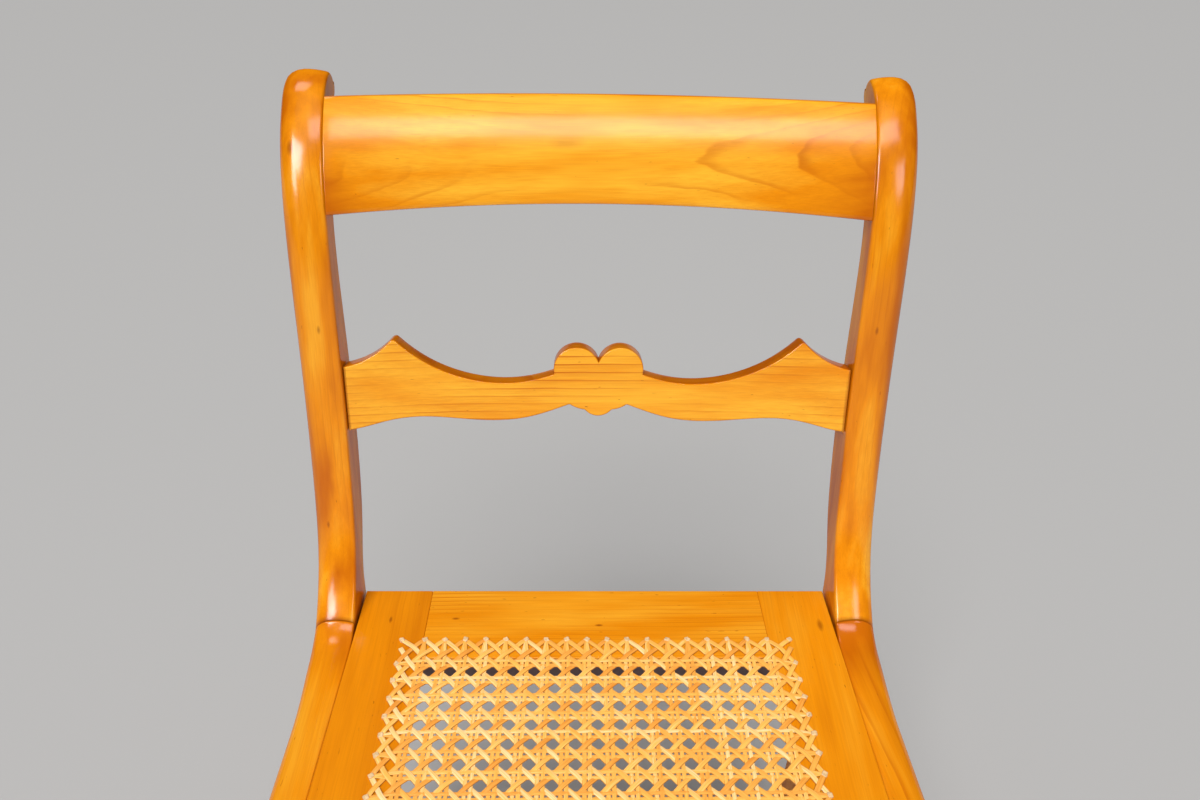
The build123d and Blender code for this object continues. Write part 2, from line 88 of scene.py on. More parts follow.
class ChairSizes(bpy.types.PropertyGroup):
    """Sizes of what the solids leave plain."""

    cane_pitch: length("Cane pitch", "Spacing of the open gaps in the weave", 15.5)
    pair_strand: length("Pair strand", "Width of a strand in the straight pairs", 3.05)
    slant_strand: length("Slanting strand", "Width of a slanting strand", 3.9)
    strand_thickness: length("Strand thickness", "Thickness of a strand", 0.7)
    peg_width: length("Peg width", "Width of a border peg", 4.6)
    edge_width: length("Outer edge width", "Rounding of the posts' outer front edge, across the post", 12.0)
    edge_depth: length("Outer edge depth", "Rounding of the posts' outer front edge, into the post", 9.0)
    rail_crown_width: length("Rail crown width", "Rounding of the side rails, across the rail", 15.0)
    rail_crown_depth: length("Rail crown depth", "Rounding of the side rails, into the rail", 6.5)
    arris: length("Arris", "Rounding of the sharper edges", 1.2)


class ChairColours(bpy.types.PropertyGroup):
    """Colours of the finishes."""

    cherry_light: colour("Cherry, light", "Pale early wood under the polish", "#f8b530")
    cherry_mid: colour("Cherry, middle", "Most of the polished wood", "#e68c0a")
    # cherry_dark is also where painted shade deepens the ground, and cherry_fleck colours dark seams and
    # painted edge shade
    cherry_dark: colour("Cherry, dark", "Late wood lines and darker figure", "#bf6204")
    cherry_fleck: colour("Cherry, flecks", "Small gum flecks and pin knots", "#833806")
    # Painted shadow: the rear rail's inner face gets this dark colour for the shade under the cane
    rail_shadow_colour: colour("Rail shadow", "Inner face of the rear seat rail", "#66575a")
    cane_light: colour("Cane, light", "Shiny bark of the cane", "#ffe3ac")
    cane_mid: colour("Cane, middle", "Most of the strands", "#fdba55")
    cane_dark: colour("Cane, dark", "Aged strands", "#df8122")
    # Painted shade: this colour darkens the edges of each strand, for the shade in the slits between strands
    cane_edge_shade: colour("Cane, edge", "Painted shade at the strands' edges", "#8c4a12")
    peg: colour("Pegs", "Split ends of the cane pegs", "#ecc793")
    beech: colour("Beech", "Corner blocks", "#c79a66")
    steel: colour("Steel", "Seat screws", "#77736d")
    floor: colour("Floor", "Plain pale floor", "#aeacaa")


# Places of the solids
SEAT_LOW, SEAT_HIGH = node_box("seat_frame_rear")
SEAT_BACK = SEAT_HIGH[1]
SEAT_TOP = SEAT_HIGH[2]
SEAT_FRONT = node_box("seat_frame_front")[0][1]
SEAT_MIDDLE = (SEAT_BACK + SEAT_FRONT) / 2
POST_LOW, POST_HIGH = node_box("rear_post_right")
INNER = POST_LOW[0]
OUTER = POST_HIGH[0]
LEG_LOW, LEG_HIGH = node_box("front_leg_right")
LEG_REAR = LEG_HIGH[1]
RAIL_TOP = LEG_HIGH[2]
RAIL_UNDER = node_box("front_seat_rail")[0][2]
PEGS_HIGH = node_box("cane_pegs")[1]

# Gaps that show as dark lines between the rails and the posts
SHOULDER_GAP = 0.5
JOINT_GAP = 0.5
RAIL_HALF = INNER - SHOULDER_GAP

# Side view of the posts and legs, with angles in degrees
BACK_HEIGHT = 384.0
SCROLL_BACK = 112.2
SCROLL_RADIUS = 11.0
SCROLL_TURN = 68.0
SCROLL_TIP = 3.0
ROLL_RADIUS = 43.0
ROLL_START = 44.0
ROLL_END = 74.0
HORN_ANGLE = 46.0
HORN_DROP = 26.0
HEEL_SLOPE = 24.0
TOE_SLOPE = 9.0
FOOT_DEPTH = 32.0
TOE_DEPTH = 30.0
LEG_BROW = 16.0
RAIL_TAPER = 5.0
TAPER_RUN = 90.0

# Crest rail
CREST_DROP = 12.0
CREST_HEIGHT = 71.0
CREST_THICKNESS = 22.0
CREST_BOW = 17.0
CREST_ARCH = 4.0

# Sawn cross rail
MID_LOW = 142.0
MID_HEIGHT = 50.0
MID_THICKNESS = 15.0
MID_BOW = 10.0
MID_SETBACK = 6.0
WING_INSET = 37.0
LOBE_SPREAD = 16.4
LOBE_RISE = 45.9
LOBE_RADIUS = 17.4
LOBE_FOOT = 42.4

# Seat frame
FRAME_TENON = 24.0
FRAME_NOSE = 6.0
FRAME_EDGE = 0.6
FRAME_SIDE_GAP = 1.1
FRAME_JOINT_GAP = 0.12
SIDE_BEVEL = 18.0
REAR_BEVEL = 20.5
FRONT_BEVEL = 13.0

# Cane, whose pairs and slants are counted in steps of its pitch from the middle of the seat
COLUMNS = np.arange(-8.5, 9)
ROWS = np.arange(-8, 9)
SLANTS = range(-18, 19)
SLANT_BEND = 0.6
PEG_RADIUS = 2.5
CANE_LEVEL = SEAT_TOP + 1.25
PEG_SIDE = PEGS_HIGH[0] - PEG_RADIUS
PEG_END = PEGS_HIGH[1] - PEG_RADIUS - SEAT_MIDDLE

# Rounding of edges, as a radius or as the size across a piece and into it
LEG_EDGE = 2.5
UNDER_EDGE = 2.0
TIGHT_EDGE = 0.3
REAR_EDGE = np.array([6.0, 6.0])
SCROLL_EDGE = np.array([15.0, 7.5])
RAIL_ROUNDS = (2.0, 2.0, 0.5, 0.5)
RAIL_EDGE = 0.4
CROWN = 2.0
CAP_MARGIN = 0.5
RIM_STEPS = 6
CURVE_STEPS = 40
SHARP_ANGLE = 35.0

# Rounding of the sharper edges, as shares of the common arris
POST_ARRIS = 1.6
CREST_ARRIS = 0.6
MID_ARRIS = 0.8

# Sizes of the wood's patterns, twice across the grain and once along it
RING_WANDER = (1000 / 9, 1000 / 9, 312.5)
FIBRE = (10 / 13, 10 / 13, 500 / 13)
CLOUD = (250 / 13, 250 / 13, 125.0)
FLECK = (10 / 9, 10 / 9, 5.0)

# A knot is drawn out along the grain
KNOT_STRETCH = (1.0, 1.0, 0.4)

# Streaks in a strand of cane: steps in half its width and in a millimetre along it, and a shift by its shade
CANE_STREAK = (2.4, 1 / 20, 40.0)

# Camera, with angles in degrees and its focal length in pixels of a picture that is PICTURE_WIDTH wide
PICTURE_WIDTH = 1200
FOCAL_PIXELS = 871.87
SENSOR_WIDTH = 36.0
CAMERA_YAW = 1.583
CAMERA_PITCH = 32.4236
CAMERA_ROLL = -1.1527
CAMERA_ASIDE = -14.12
CAMERA_FORWARD = 521.26
CAMERA_RISE = 517.23


def side_point(back, up):
    """Side-view point (y, z), from the rear edge of the seat."""
    return np.array([SEAT_BACK + back, SEAT_TOP + up])


def top_point(forward, down):
    """Side-view point (y, z), from the top of the rolled end."""
    return side_point(SCROLL_BACK - forward, BACK_HEIGHT - down)


def heading(slope):
    """Unit vector that rises and leans back by an angle from upright."""
    return np.array([sin(radians(slope)), cos(radians(slope))])


def unit(*parts):
    """A direction of length one."""
    return np.array(parts) / np.linalg.norm(parts)


def smooth(share):
    """A share from 0 to 1 with a soft start and end: s^2 (3 - 2 s)."""
    return share * share * (3 - 2 * share)


def ramp(values, start, end):
    """0 up to the start, 1 from the end on, and a straight rise between them."""
    return np.clip((values - start) / (end - start), 0, 1)


def faded(count, first, last):
    """Pairs of sizes that change softly from the first to the last over count steps."""
    return first[:, None] + (last - first)[:, None] * smooth(np.linspace(0, 1, count))


def run_along(line):
    """Distance along a line at each of its points."""
    return np.r_[0, np.cumsum(np.linalg.norm(np.diff(line, axis=0), axis=1))]


def points_at(line, places):
    """Points of a line at given distances along it."""
    run = run_along(line)
    return np.stack([np.interp(places, run, axis) for axis in line.T], axis=1)


def even_steps(line, count):
    """The same line with count points at even steps along it."""
    return points_at(line, np.linspace(0, run_along(line)[-1], count))


def resampled_like(line, guide):
    """A line with as many points as the guide, spread as the guide's are."""
    spread = run_along(guide)
    return points_at(line, spread / spread[-1] * run_along(line)[-1])


def softened(line):
    """A line whose corners are eased by a weighted mean over three points, with its ends kept."""
    eased = line.copy()
    eased[1:-1] = (line[:-2] + 2 * line[1:-1] + line[2:]) / 4
    return eased


def cubic(points, start, end, count):
    """Cubic curve through the points, as count points at even steps along it.

    On a run of chord length h, p = a p0 + b p1 + ((a^3 - a) m0 + (b^3 - b) m1) h^2 / 6 with a + b = 1,
    and the second derivatives m make the slope continuous. The end slopes are unit vectors, or come
    from a parabola where they are None.
    """
    points = np.asarray(points, float)
    last = len(points) - 1
    h = np.linalg.norm(np.diff(points, axis=0), axis=1)
    slope = np.diff(points, axis=0) / h[:, None]
    if start is None:
        start = slope[0] + (slope[0] - slope[1]) * h[0] / (h[0] + h[1])
    if end is None:
        end = slope[-1] + (slope[-1] - slope[-2]) * h[-1] / (h[-1] + h[-2])
    step = np.r_[0, h, 0]
    matrix = np.diag(2 * (step[:-1] + step[1:])) + np.diag(h, 1) + np.diag(h, -1)
    change = np.diff(np.vstack([start, slope, end]), axis=0)
    m = np.linalg.solve(matrix, 6 * change)
    knots = np.r_[0, np.cumsum(h)]
    place = np.linspace(0, knots[-1], CURVE_STEPS * last)
    run = np.clip(np.searchsorted(knots, place) - 1, 0, last - 1)
    b = ((place - knots[run]) / h[run])[:, None]
    a = 1 - b
    bend = ((a**3 - a) * m[run] + (b**3 - b) * m[run + 1]) * (h[run] ** 2)[:, None] / 6
    return even_steps(a * points[run] + b * points[run + 1] + bend, count)


def arc(middle, radius, first, last, count):
    """Points on a circle between two angles, in degrees from the first axis towards the second."""
    turn = np.radians(np.linspace(first, last, count))
    return np.asarray(middle) + radius * np.stack([np.cos(turn), np.sin(turn)], axis=1)


def chain(*runs):
    """Runs joined end to end, without the doubled points between them."""
    return np.vstack([runs[0]] + [run[1:] for run in runs[1:]])


def right_of(line):
    """Unit normals to the right of a line's direction."""
    ahead = np.gradient(line, axis=0)
    turned = np.stack([ahead[:, 1], -ahead[:, 0]], axis=1)
    return turned / np.linalg.norm(turned, axis=1)[:, None]


def loop_normals(loop):
    """Unit normals into a closed loop: its mean direction, turned to the side where the area lies."""
    after = np.roll(loop, -1, axis=0)
    ahead = after - np.roll(loop, 1, axis=0)
    turned = np.stack([-ahead[:, 1], ahead[:, 0]], axis=1)
    turned /= np.linalg.norm(turned, axis=1)[:, None]
    area = np.sum(loop[:, 0] * after[:, 1] - after[:, 0] * loop[:, 1])
    return turned if area > 0 else -turned


# The joint of a post and its side rail, and the front and rear curves of a post
JOINT = side_point(-39.0, 7.5)
SCROLL_MIDDLE = top_point(0, SCROLL_RADIUS)
ROLL_AIM = np.array([-cos(radians(ROLL_END)), sin(radians(ROLL_END))])
ROLL_TOP = SCROLL_MIDDLE + SCROLL_RADIUS * ROLL_AIM
ROLL_MIDDLE = ROLL_TOP - ROLL_RADIUS * ROLL_AIM
ROLL_ARC = arc(ROLL_MIDDLE, ROLL_RADIUS, 180 - ROLL_START, 180 - ROLL_END, 12)
STILE_POINTS = [
    JOINT,
    side_point(-15.0, 37.0),
    side_point(8.0, 98.7),
    side_point(29.5, 193.3),
    top_point(69.0, 117.7),
    top_point(55.0, 65.0),
    top_point(37.0, 29.3),
    ROLL_ARC[0],
]
STILE = chain(cubic(STILE_POINTS, heading(HORN_ANGLE), heading(ROLL_START), 120), ROLL_ARC)
KNEE = side_point(2.0, -50.0)
HEEL = side_point(48.0, -SEAT_TOP)
SCROLL_AIM = np.array([cos(radians(SCROLL_TURN)), -sin(radians(SCROLL_TURN))])
REAR_POINTS = [
    KNEE,
    side_point(9.4, 25.1),
    side_point(24.7, 54.7),
    side_point(37.0, 86.0),
    side_point(46.0, 119.0),
    side_point(62.0, 234.0),
    top_point(41.0, 94.3),
    top_point(29.5, 62.3),
    top_point(15.0, 35.3),
    SCROLL_MIDDLE + SCROLL_RADIUS * SCROLL_AIM,
]


def stile_at(height):
    """Point of the post's front curve at a height above the floor."""
    return np.array([np.interp(height, STILE[:, 1], STILE[:, 0]), height])


def bowed(y, x, bow, half):
    """y carried round an arc that bows back over the half span: y + bow - r + sqrt(r^2 - x^2)."""
    radius = (half**2 + bow**2) / (2 * bow)
    return y + bow - radius + np.sqrt(radius**2 - x**2)


def tapered(points):
    """Points of a right-hand piece, narrowed from the outside over a run in front of the joint."""
    share = np.clip((JOINT[0] - points[..., 1]) / TAPER_RUN, 0, 1)
    narrower = RAIL_TAPER * smooth(share) * (points[..., 0] - INNER) / (OUTER - INNER)
    return points - narrower[..., None] * np.array([1, 0, 0])


def joint_shear(line, normals, at_end):
    """How much each point moves along the line per unit of inset, to end the rounding on the joint's plane.

    At the joint the move is -t n_y / t_y, with t the line's direction and n the way in, and it fades.
    """
    fade_run = 18.0
    ahead = np.gradient(line, axis=0)
    ahead /= np.linalg.norm(ahead, axis=1)[:, None]
    place = -1 if at_end else 0
    run = np.linalg.norm(line - line[place], axis=1)
    fade = np.clip(1 - run / fade_run, 0, 1)
    back = -normals[place, 0] / ahead[place, 0]
    return fade[:, None] * ahead * back


def paired_by_x(under, over):
    """The lower edge of a board with as many points as its upper edge, each straight below its fellow."""
    across = np.minimum.accumulate(over[:, 0])
    # Where the upper edge turns back, the points below it still keep apart
    apart = np.linspace(0, 0.2, len(over)) * (across > 0.5)
    across = np.clip(across - apart, 0, None)
    low = np.stack([across, np.interp(across, under[::-1, 0], under[::-1, 1])], axis=1)
    low[0] = under[0]
    return low


def grid_faces(rows, columns):
    """Four-cornered faces over a grid of points that closes round its columns."""
    row, column = np.meshgrid(np.arange(rows - 1), np.arange(columns), indexing="ij")
    beside = (column + 1) % columns
    near = row * columns
    far = near + columns
    return np.stack([near + column, near + beside, far + beside, far + column], axis=-1).reshape(-1, 4)


def plate(loop, normals, low, high, low_ease, high_ease, crown=0.0, shear=0.0, spans=1):
    """A plate cut to a closed loop, with rounded rims, as points (across, y, z) on a grid and its faces.

    A rim's point is the loop moved in by depth (1 - cos a), at width (1 - sin a) from the face, with a
    from 0 on the wall to a quarter turn on the face. The wall falls in by crown s^2 from its middle,
    s from -1 to 1 across it. shear adds to the way in. The loop's two halves run alike, and rungs
    between point i and point -1 - i close the faces.
    """
    count = len(loop)
    turn = np.linspace(0, pi / 2, RIM_STEPS)[:, None]
    low_width, low_depth = (np.broadcast_to(part, count) for part in low_ease)
    high_width, high_depth = (np.broadcast_to(part, count) for part in high_ease)
    low_across = low + low_width * (1 - np.sin(turn))
    high_across = high - high_width * (1 - np.sin(turn))
    low_in = low_depth * (1 - np.cos(turn))
    high_in = high_depth * (1 - np.cos(turn))
    share = np.linspace(0, 1, spans + 1)[1:-1, None]
    wall_across = low_across[0] + share * (high_across[0] - low_across[0])
    wall_in = np.zeros_like(wall_across)
    low_face = np.full((1, count), low)
    high_face = np.full((1, count), high)
    across = np.vstack([low_face, low_across[::-1], wall_across, high_across, high_face])
    low_cap = low_in[-1:] + CAP_MARGIN
    high_cap = high_in[-1:] + CAP_MARGIN
    inset = np.vstack([low_cap, low_in[::-1], wall_in, high_in, high_cap])
    middle = (low + high) / 2
    fall = np.broadcast_to(crown, count) * ((across - middle) / ((high - low) / 2)) ** 2
    place = loop[None] + (inset + fall)[..., None] * (normals + shear)[None]
    points = np.concatenate([across[..., None], place], axis=2)
    rung = np.arange(count // 2 - 1)
    cap = np.stack([rung, count - 1 - rung, count - 2 - rung, rung + 1], axis=1)
    far_cap = cap[:, ::-1] + (len(points) - 1) * count
    return points, np.vstack([grid_faces(len(points), count), cap, far_cap])


def board(low, high, rounds, ease, bevel=0.0):
    """A board with rounded edges: its (y, z) section has a radius at each corner and runs across in x.

    rounds are the radii at the lower front, lower rear, upper rear and upper front. bevel rounds the
    lower edge at the lesser x, which keeps the first gaps of the cane open to the eye.
    """
    (x0, y0, z0), (x1, y1, z1) = low, high
    front_low, rear_low, rear_high, front_high = rounds
    corner = 7
    run = np.linspace(0, 1, 24)[:, None]
    under = chain(
        arc([y0 + front_low, z0 + front_low], front_low, 180, 270, corner),
        np.array([y0 + front_low, z0]) + run * [y1 - y0 - front_low - rear_low, 0],
        arc([y1 - rear_low, z0 + rear_low], rear_low, 270, 360, corner),
    )
    over = chain(
        arc([y0 + front_high, z1 - front_high], front_high, 180, 90, corner),
        np.array([y0 + front_high, z1]) + run * [y1 - y0 - front_high - rear_high, 0],
        arc([y1 - rear_high, z1 - rear_high], rear_high, 90, 0, corner),
    )
    loop = np.vstack([under, over[::-1]])
    near = np.full(len(loop), ease)
    near[corner + 1 : len(under) - corner - 1] += bevel
    return plate(loop, loop_normals(loop), x0, x1, (near, near), (ease, ease), spans=6)


def strand(path, width, thick, shade):
    """A flat strand: a low dome of six points carried along its path, square to it and level across.

    With its points and faces come each point's place across and along the strand, and the shade.
    """
    profile = np.array([(-1, -0.5), (-0.9, 0.2), (-0.4, 0.5), (0.4, 0.5), (0.9, 0.2), (1, -0.5)])
    ahead = np.gradient(path, axis=0)
    ahead /= np.linalg.norm(ahead, axis=1)[:, None]
    beside = np.stack([ahead[:, 1], -ahead[:, 0], np.zeros(len(path))], axis=1)
    beside /= np.linalg.norm(beside, axis=1)[:, None]
    above = np.cross(beside, ahead)
    points = path[:, None] + profile[None, :, :1] * (width / 2) * beside[:, None]
    points = points + profile[None, :, 1:] * thick * above[:, None]
    rows, columns = points.shape[:2]
    ends = np.array([[5, 4, 1, 0], [4, 3, 2, 1]])
    far = ends[:, ::-1] + (rows - 1) * columns
    faces = np.vstack([grid_faces(rows, columns), ends, far])
    along = np.repeat(run_along(path), columns)
    own = np.stack([np.tile(profile[:, 0], rows), along, np.full(rows * columns, shade)], axis=1)
    return points.reshape(-1, 3), faces, own


def bundle(strands):
    """Several strands as one mesh: points, faces and the strands' own places laid end to end."""
    starts = np.cumsum([0] + [len(made[0]) for made in strands[:-1]])
    faces = np.vstack([made[1] + start for made, start in zip(strands, starts)])
    return np.vstack([made[0] for made in strands]), faces, np.vstack([made[2] for made in strands])


def mirrored(points):
    """The left-hand points that mirror right-hand ones."""
    return points * np.array([-1, 1, 1])


def outer_edges():
    """Rounding of the posts' outer edge and of the side rails, each across the piece and into it."""
    sizes = bpy.context.scene.chair_sizes
    post = np.array([sizes.edge_width, sizes.edge_depth]) * MM
    rail = np.array([sizes.rail_crown_width, sizes.rail_crown_depth]) * MM
    return post, rail


def add_piece(name, points, faces, material, slot, *nodes):
    """A mesh piece from points in millimetres. It rides with the chair and stands for the given solids."""
    points = np.asarray(points, float).reshape(-1, 3)
    faces = np.asarray(faces)
    corner = points[faces]
    volume = np.einsum("ij,ij->", corner[:, 0], np.cross(corner[:, 1], corner[:, 2]))
    volume += np.einsum("ij,ij->", corner[:, 0], np.cross(corner[:, 2], corner[:, 3]))
    if volume < 0:
        faces = faces[:, ::-1]
    mesh = bpy.data.meshes.new(name)
    mesh.from_pydata((points / MM).tolist(), [], faces.tolist())
    mesh.polygons.foreach_set("use_smooth", np.ones(len(faces), bool))
    mesh.set_sharp_from_angle(angle=radians(SHARP_ANGLE))
    mesh.materials.append(material)
    piece = bpy.data.objects.new(name, mesh)
    bpy.context.scene.collection.objects.link(piece)
    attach(piece, "root")
    if nodes:
        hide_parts(*nodes)
    return piece


def darken(piece, shares, depths=0.0):
    """Mark dark seams and painted edge shade, and where deeper tone and painted shade deepen the ground, each
    0 to 1.
    """
    marks = {"seam_and_edge_shade": shares, "deep_tone_and_shade": np.broadcast_to(depths, np.shape(shares))}
    for name, values in marks.items():
        attribute = piece.data.attributes.new(name, "FLOAT", "POINT")
        attribute.data.foreach_set("value", np.ascontiguousarray(values, dtype=np.float32).ravel())


def add_node(tree, kind, inputs=None, **settings):
    """A node with its settings. An input is a number, a vector, a colour or another node's output socket."""
    made = tree.nodes.new(kind)
    for key, value in settings.items():
        setattr(made, key, value)
    for key, value in (inputs or {}).items():
        if isinstance(value, bpy.types.NodeSocket):
            tree.links.new(value, made.inputs[key])
        else:
            made.inputs[key].default_value = value
    return made


def fresh_material(name):
    """An empty node material, with its tree and its shader."""
    material = bpy.data.materials.new(name)
    material.use_nodes = True
    tree = material.node_tree
    return material, tree, tree.nodes["Principled BSDF"]


def rgba(values):
    """A colour with full opacity."""
    return (*values, 1.0)


def per_metre(sizes):
    """How often a pattern repeats in a metre, from its sizes in millimetres."""
    return [MM / size for size in sizes]


def growth_rings(tree, grain, ring_mm, sway_mm):
    """Strength of the dark late wood: the distance from the pith, counted in rings, through a ramp.

    A slow noise over a hand's width first moves the point, so that the rings wander, and another makes
    only some of them strong.
    """
    slowing = {0: grain, 1: per_metre(RING_WANDER)}
    slow = add_node(tree, "ShaderNodeVectorMath", slowing, operation="MULTIPLY").outputs[0]
    sway = add_node(tree, "ShaderNodeTexNoise", {"Vector": slow, "Scale": 1.0, "Detail": 5.0})
    centring = {0: sway.outputs["Color"], 1: (0.5, 0.5, 0.5)}
    centred = add_node(tree, "ShaderNodeVectorMath", centring, operation="SUBTRACT")
    spreading = {0: centred.outputs[0], 1: (sway_mm / MM, sway_mm / MM, 0.0)}
    spread = add_node(tree, "ShaderNodeVectorMath", spreading, operation="MULTIPLY")
    swayed = add_node(tree, "ShaderNodeVectorMath", {0: grain, 1: spread.outputs[0]}, operation="ADD")
    flattening = {0: swayed.outputs[0], 1: (1.0, 1.0, 0.0)}
    across = add_node(tree, "ShaderNodeVectorMath", flattening, operation="MULTIPLY")
    reach = add_node(tree, "ShaderNodeVectorMath", {0: across.outputs[0]}, operation="LENGTH")
    counting = {0: reach.outputs["Value"], 1: MM / ring_mm}
    rings = add_node(tree, "ShaderNodeMath", counting, operation="MULTIPLY")
    phase = add_node(tree, "ShaderNodeMath", {0: rings.outputs[0]}, operation="FRACT")
    late = add_node(tree, "ShaderNodeValToRGB", {"Fac": phase.outputs[0]})
    late.color_ramp.interpolation = "EASE"
    late.color_ramp.elements[0].color = (0, 0, 0, 1)
    late.color_ramp.elements[1].color = (0, 0, 0, 1)
    late.color_ramp.elements.new(0.72).color = (0.18, 0.18, 0.18, 1)
    late.color_ramp.elements.new(0.93).color = (1, 1, 1, 1)
    weak = add_node(tree, "ShaderNodeTexNoise", {"Vector": slow, "Scale": 2.3, "Detail": 1.0})
    choosing = {"Value": weak.outputs["Fac"], "From Min": 0.38, "From Max": 0.72}
    strong = add_node(tree, "ShaderNodeMapRange", choosing)
    drawing = {0: late.outputs["Color"], 1: strong.outputs[0]}
    return add_node(tree, "ShaderNodeMath", drawing, operation="MULTIPLY").outputs[0]


def polished_cherry(name, turn, pith, ring_mm, tone, figure, lines, knots=(), sway_mm=22.0):
    """Cherry, sawn and planed, under many coats of shellac rubbed to a gloss.

    The eye sees a warm honey ground, soft darker lines where growth rings are cut, a fine fibre streak
    along the grain, a few gum flecks and a smooth reflecting skin. turn carries the upright Z onto the
    grain, and pith is a point on the middle line of the tree, in millimetres. A ring is ring_mm wide and
    wanders by sway_mm. tone darkens the ground, and figure and lines are the strengths of its clouds and
    of its rings. A knot is a place, a radius and a strength.
    """
    colours = bpy.context.scene.chair_colours
    dark = rgba(colours.cherry_dark)
    gum = rgba(colours.cherry_fleck)
    material, tree, shader = fresh_material(name)
    where = add_node(tree, "ShaderNodeTexCoord").outputs["Object"]
    angles = [radians(part) for part in turn]
    spot = {"Vector": where, "Location": [part / MM for part in pith], "Rotation": angles}
    grain = add_node(tree, "ShaderNodeMapping", spot, vector_type="TEXTURE").outputs["Vector"]
    # Fibres under a millimetre wide and some centimetres long, clouds of colour two centimetres across and
    # longer along the grain, and gum flecks a millimetre wide and a few long
    patterns = []
    for sizes, detail in ((FIBRE, 3.0), (CLOUD, 3.0), (FLECK, 0.0)):
        drawing = {0: grain, 1: per_metre(sizes)}
        drawn = add_node(tree, "ShaderNodeVectorMath", drawing, operation="MULTIPLY")
        noise = {"Vector": drawn.outputs[0], "Scale": 1.0, "Detail": detail}
        patterns.append(add_node(tree, "ShaderNodeTexNoise", noise).outputs["Fac"])
    fibre, cloud, fleck = patterns
    clouding = {
        "Value": cloud,
        "From Min": 0.3,
        "From Max": 0.7,
        "To Min": 0.5 - figure / 2 + tone,
        "To Max": 0.5 + figure / 2 + tone,
    }
    base = add_node(tree, "ShaderNodeMapRange", clouding)
    # Deeper tone and painted shade, read from the points, deepen the ground
    thick = add_node(tree, "ShaderNodeAttribute", attribute_name="deep_tone_and_shade").outputs["Fac"]
    deepened = add_node(tree, "ShaderNodeMath", {0: base.outputs[0], 1: thick}, operation="ADD")
    ground = add_node(tree, "ShaderNodeValToRGB", {"Fac": deepened.outputs[0]})
    ground.color_ramp.elements[0].color = rgba(colours.cherry_light)
    ground.color_ramp.elements[1].color = dark
    ground.color_ramp.elements.new(0.5).color = rgba(colours.cherry_mid)
    # Ring lines, fibre streaks and gum flecks lie over the ground
    rings = growth_rings(tree, grain, ring_mm, sway_mm)
    line_share = add_node(tree, "ShaderNodeMath", {0: rings, 1: lines}, operation="MULTIPLY")
    streaking = {"Value": fibre, "From Min": 0.3, "From Max": 0.75, "To Max": 0.3}
    streak = add_node(tree, "ShaderNodeMapRange", streaking)
    thinning = {"Value": fleck, "From Min": 0.83, "From Max": 0.9, "To Max": 0.6}
    few = add_node(tree, "ShaderNodeMapRange", thinning)
    mixed = ground.outputs["Color"]
    for share, tint in ((line_share, dark), (streak, dark), (few, gum)):
        laying = {"Factor": share.outputs[0], "A": mixed, "B": tint}
        mixed = add_node(tree, "ShaderNodeMix", laying, data_type="RGBA").outputs["Result"]
    for *place, radius, strength in knots:
        centre = Euler(angles).to_matrix().transposed() @ (Vector(place) - Vector(pith)) / MM
        away = add_node(tree, "ShaderNodeVectorMath", {0: grain, 1: centre}, operation="SUBTRACT")
        drawing = {0: away.outputs[0], 1: KNOT_STRETCH}
        drawn = add_node(tree, "ShaderNodeVectorMath", drawing, operation="MULTIPLY")
        gap = add_node(tree, "ShaderNodeVectorMath", {0: drawn.outputs[0]}, operation="LENGTH")
        nearing = {
            "Value": gap.outputs["Value"],
            "From Min": radius / MM,
            "From Max": radius * 0.3 / MM,
            "To Max": strength,
        }
        near = add_node(tree, "ShaderNodeMapRange", nearing)
        laying = {"Factor": near.outputs[0], "A": mixed, "B": gum}
        mixed = add_node(tree, "ShaderNodeMix", laying, data_type="RGBA").outputs["Result"]
    # Dark seams and painted shade on edges brown the wood
    seam_and_shade = add_node(tree, "ShaderNodeAttribute", attribute_name="seam_and_edge_shade").outputs["Fac"]
    edge_shading = add_node(tree, "ShaderNodeMath", {0: seam_and_shade, 1: 0.6}, operation="MULTIPLY")
    laying = {"Factor": edge_shading.outputs[0], "A": mixed, "B": gum}
    edged = add_node(tree, "ShaderNodeMix", laying, data_type="RGBA")
    tree.links.new(edged.outputs["Result"], shader.inputs["Base Color"])
    gloss = add_node(tree, "ShaderNodeMapRange", {"Value": fibre, "To Min": 0.30, "To Max": 0.42})
    tree.links.new(gloss.outputs[0], shader.inputs["Roughness"])
    bump = add_node(tree, "ShaderNodeBump", {"Height": fibre, "Strength": 0.05, "Distance": 0.0002})
    tree.links.new(bump.outputs["Normal"], shader.inputs["Normal"])
    shader.inputs["IOR"].default_value = 1.5
    shader.inputs["Specular IOR Level"].default_value = 0.0
    shader.inputs["Coat Weight"].default_value = 0.7
    shader.inputs["Coat Roughness"].default_value = 0.16
    shader.inputs["Coat IOR"].default_value = 1.5
    return material


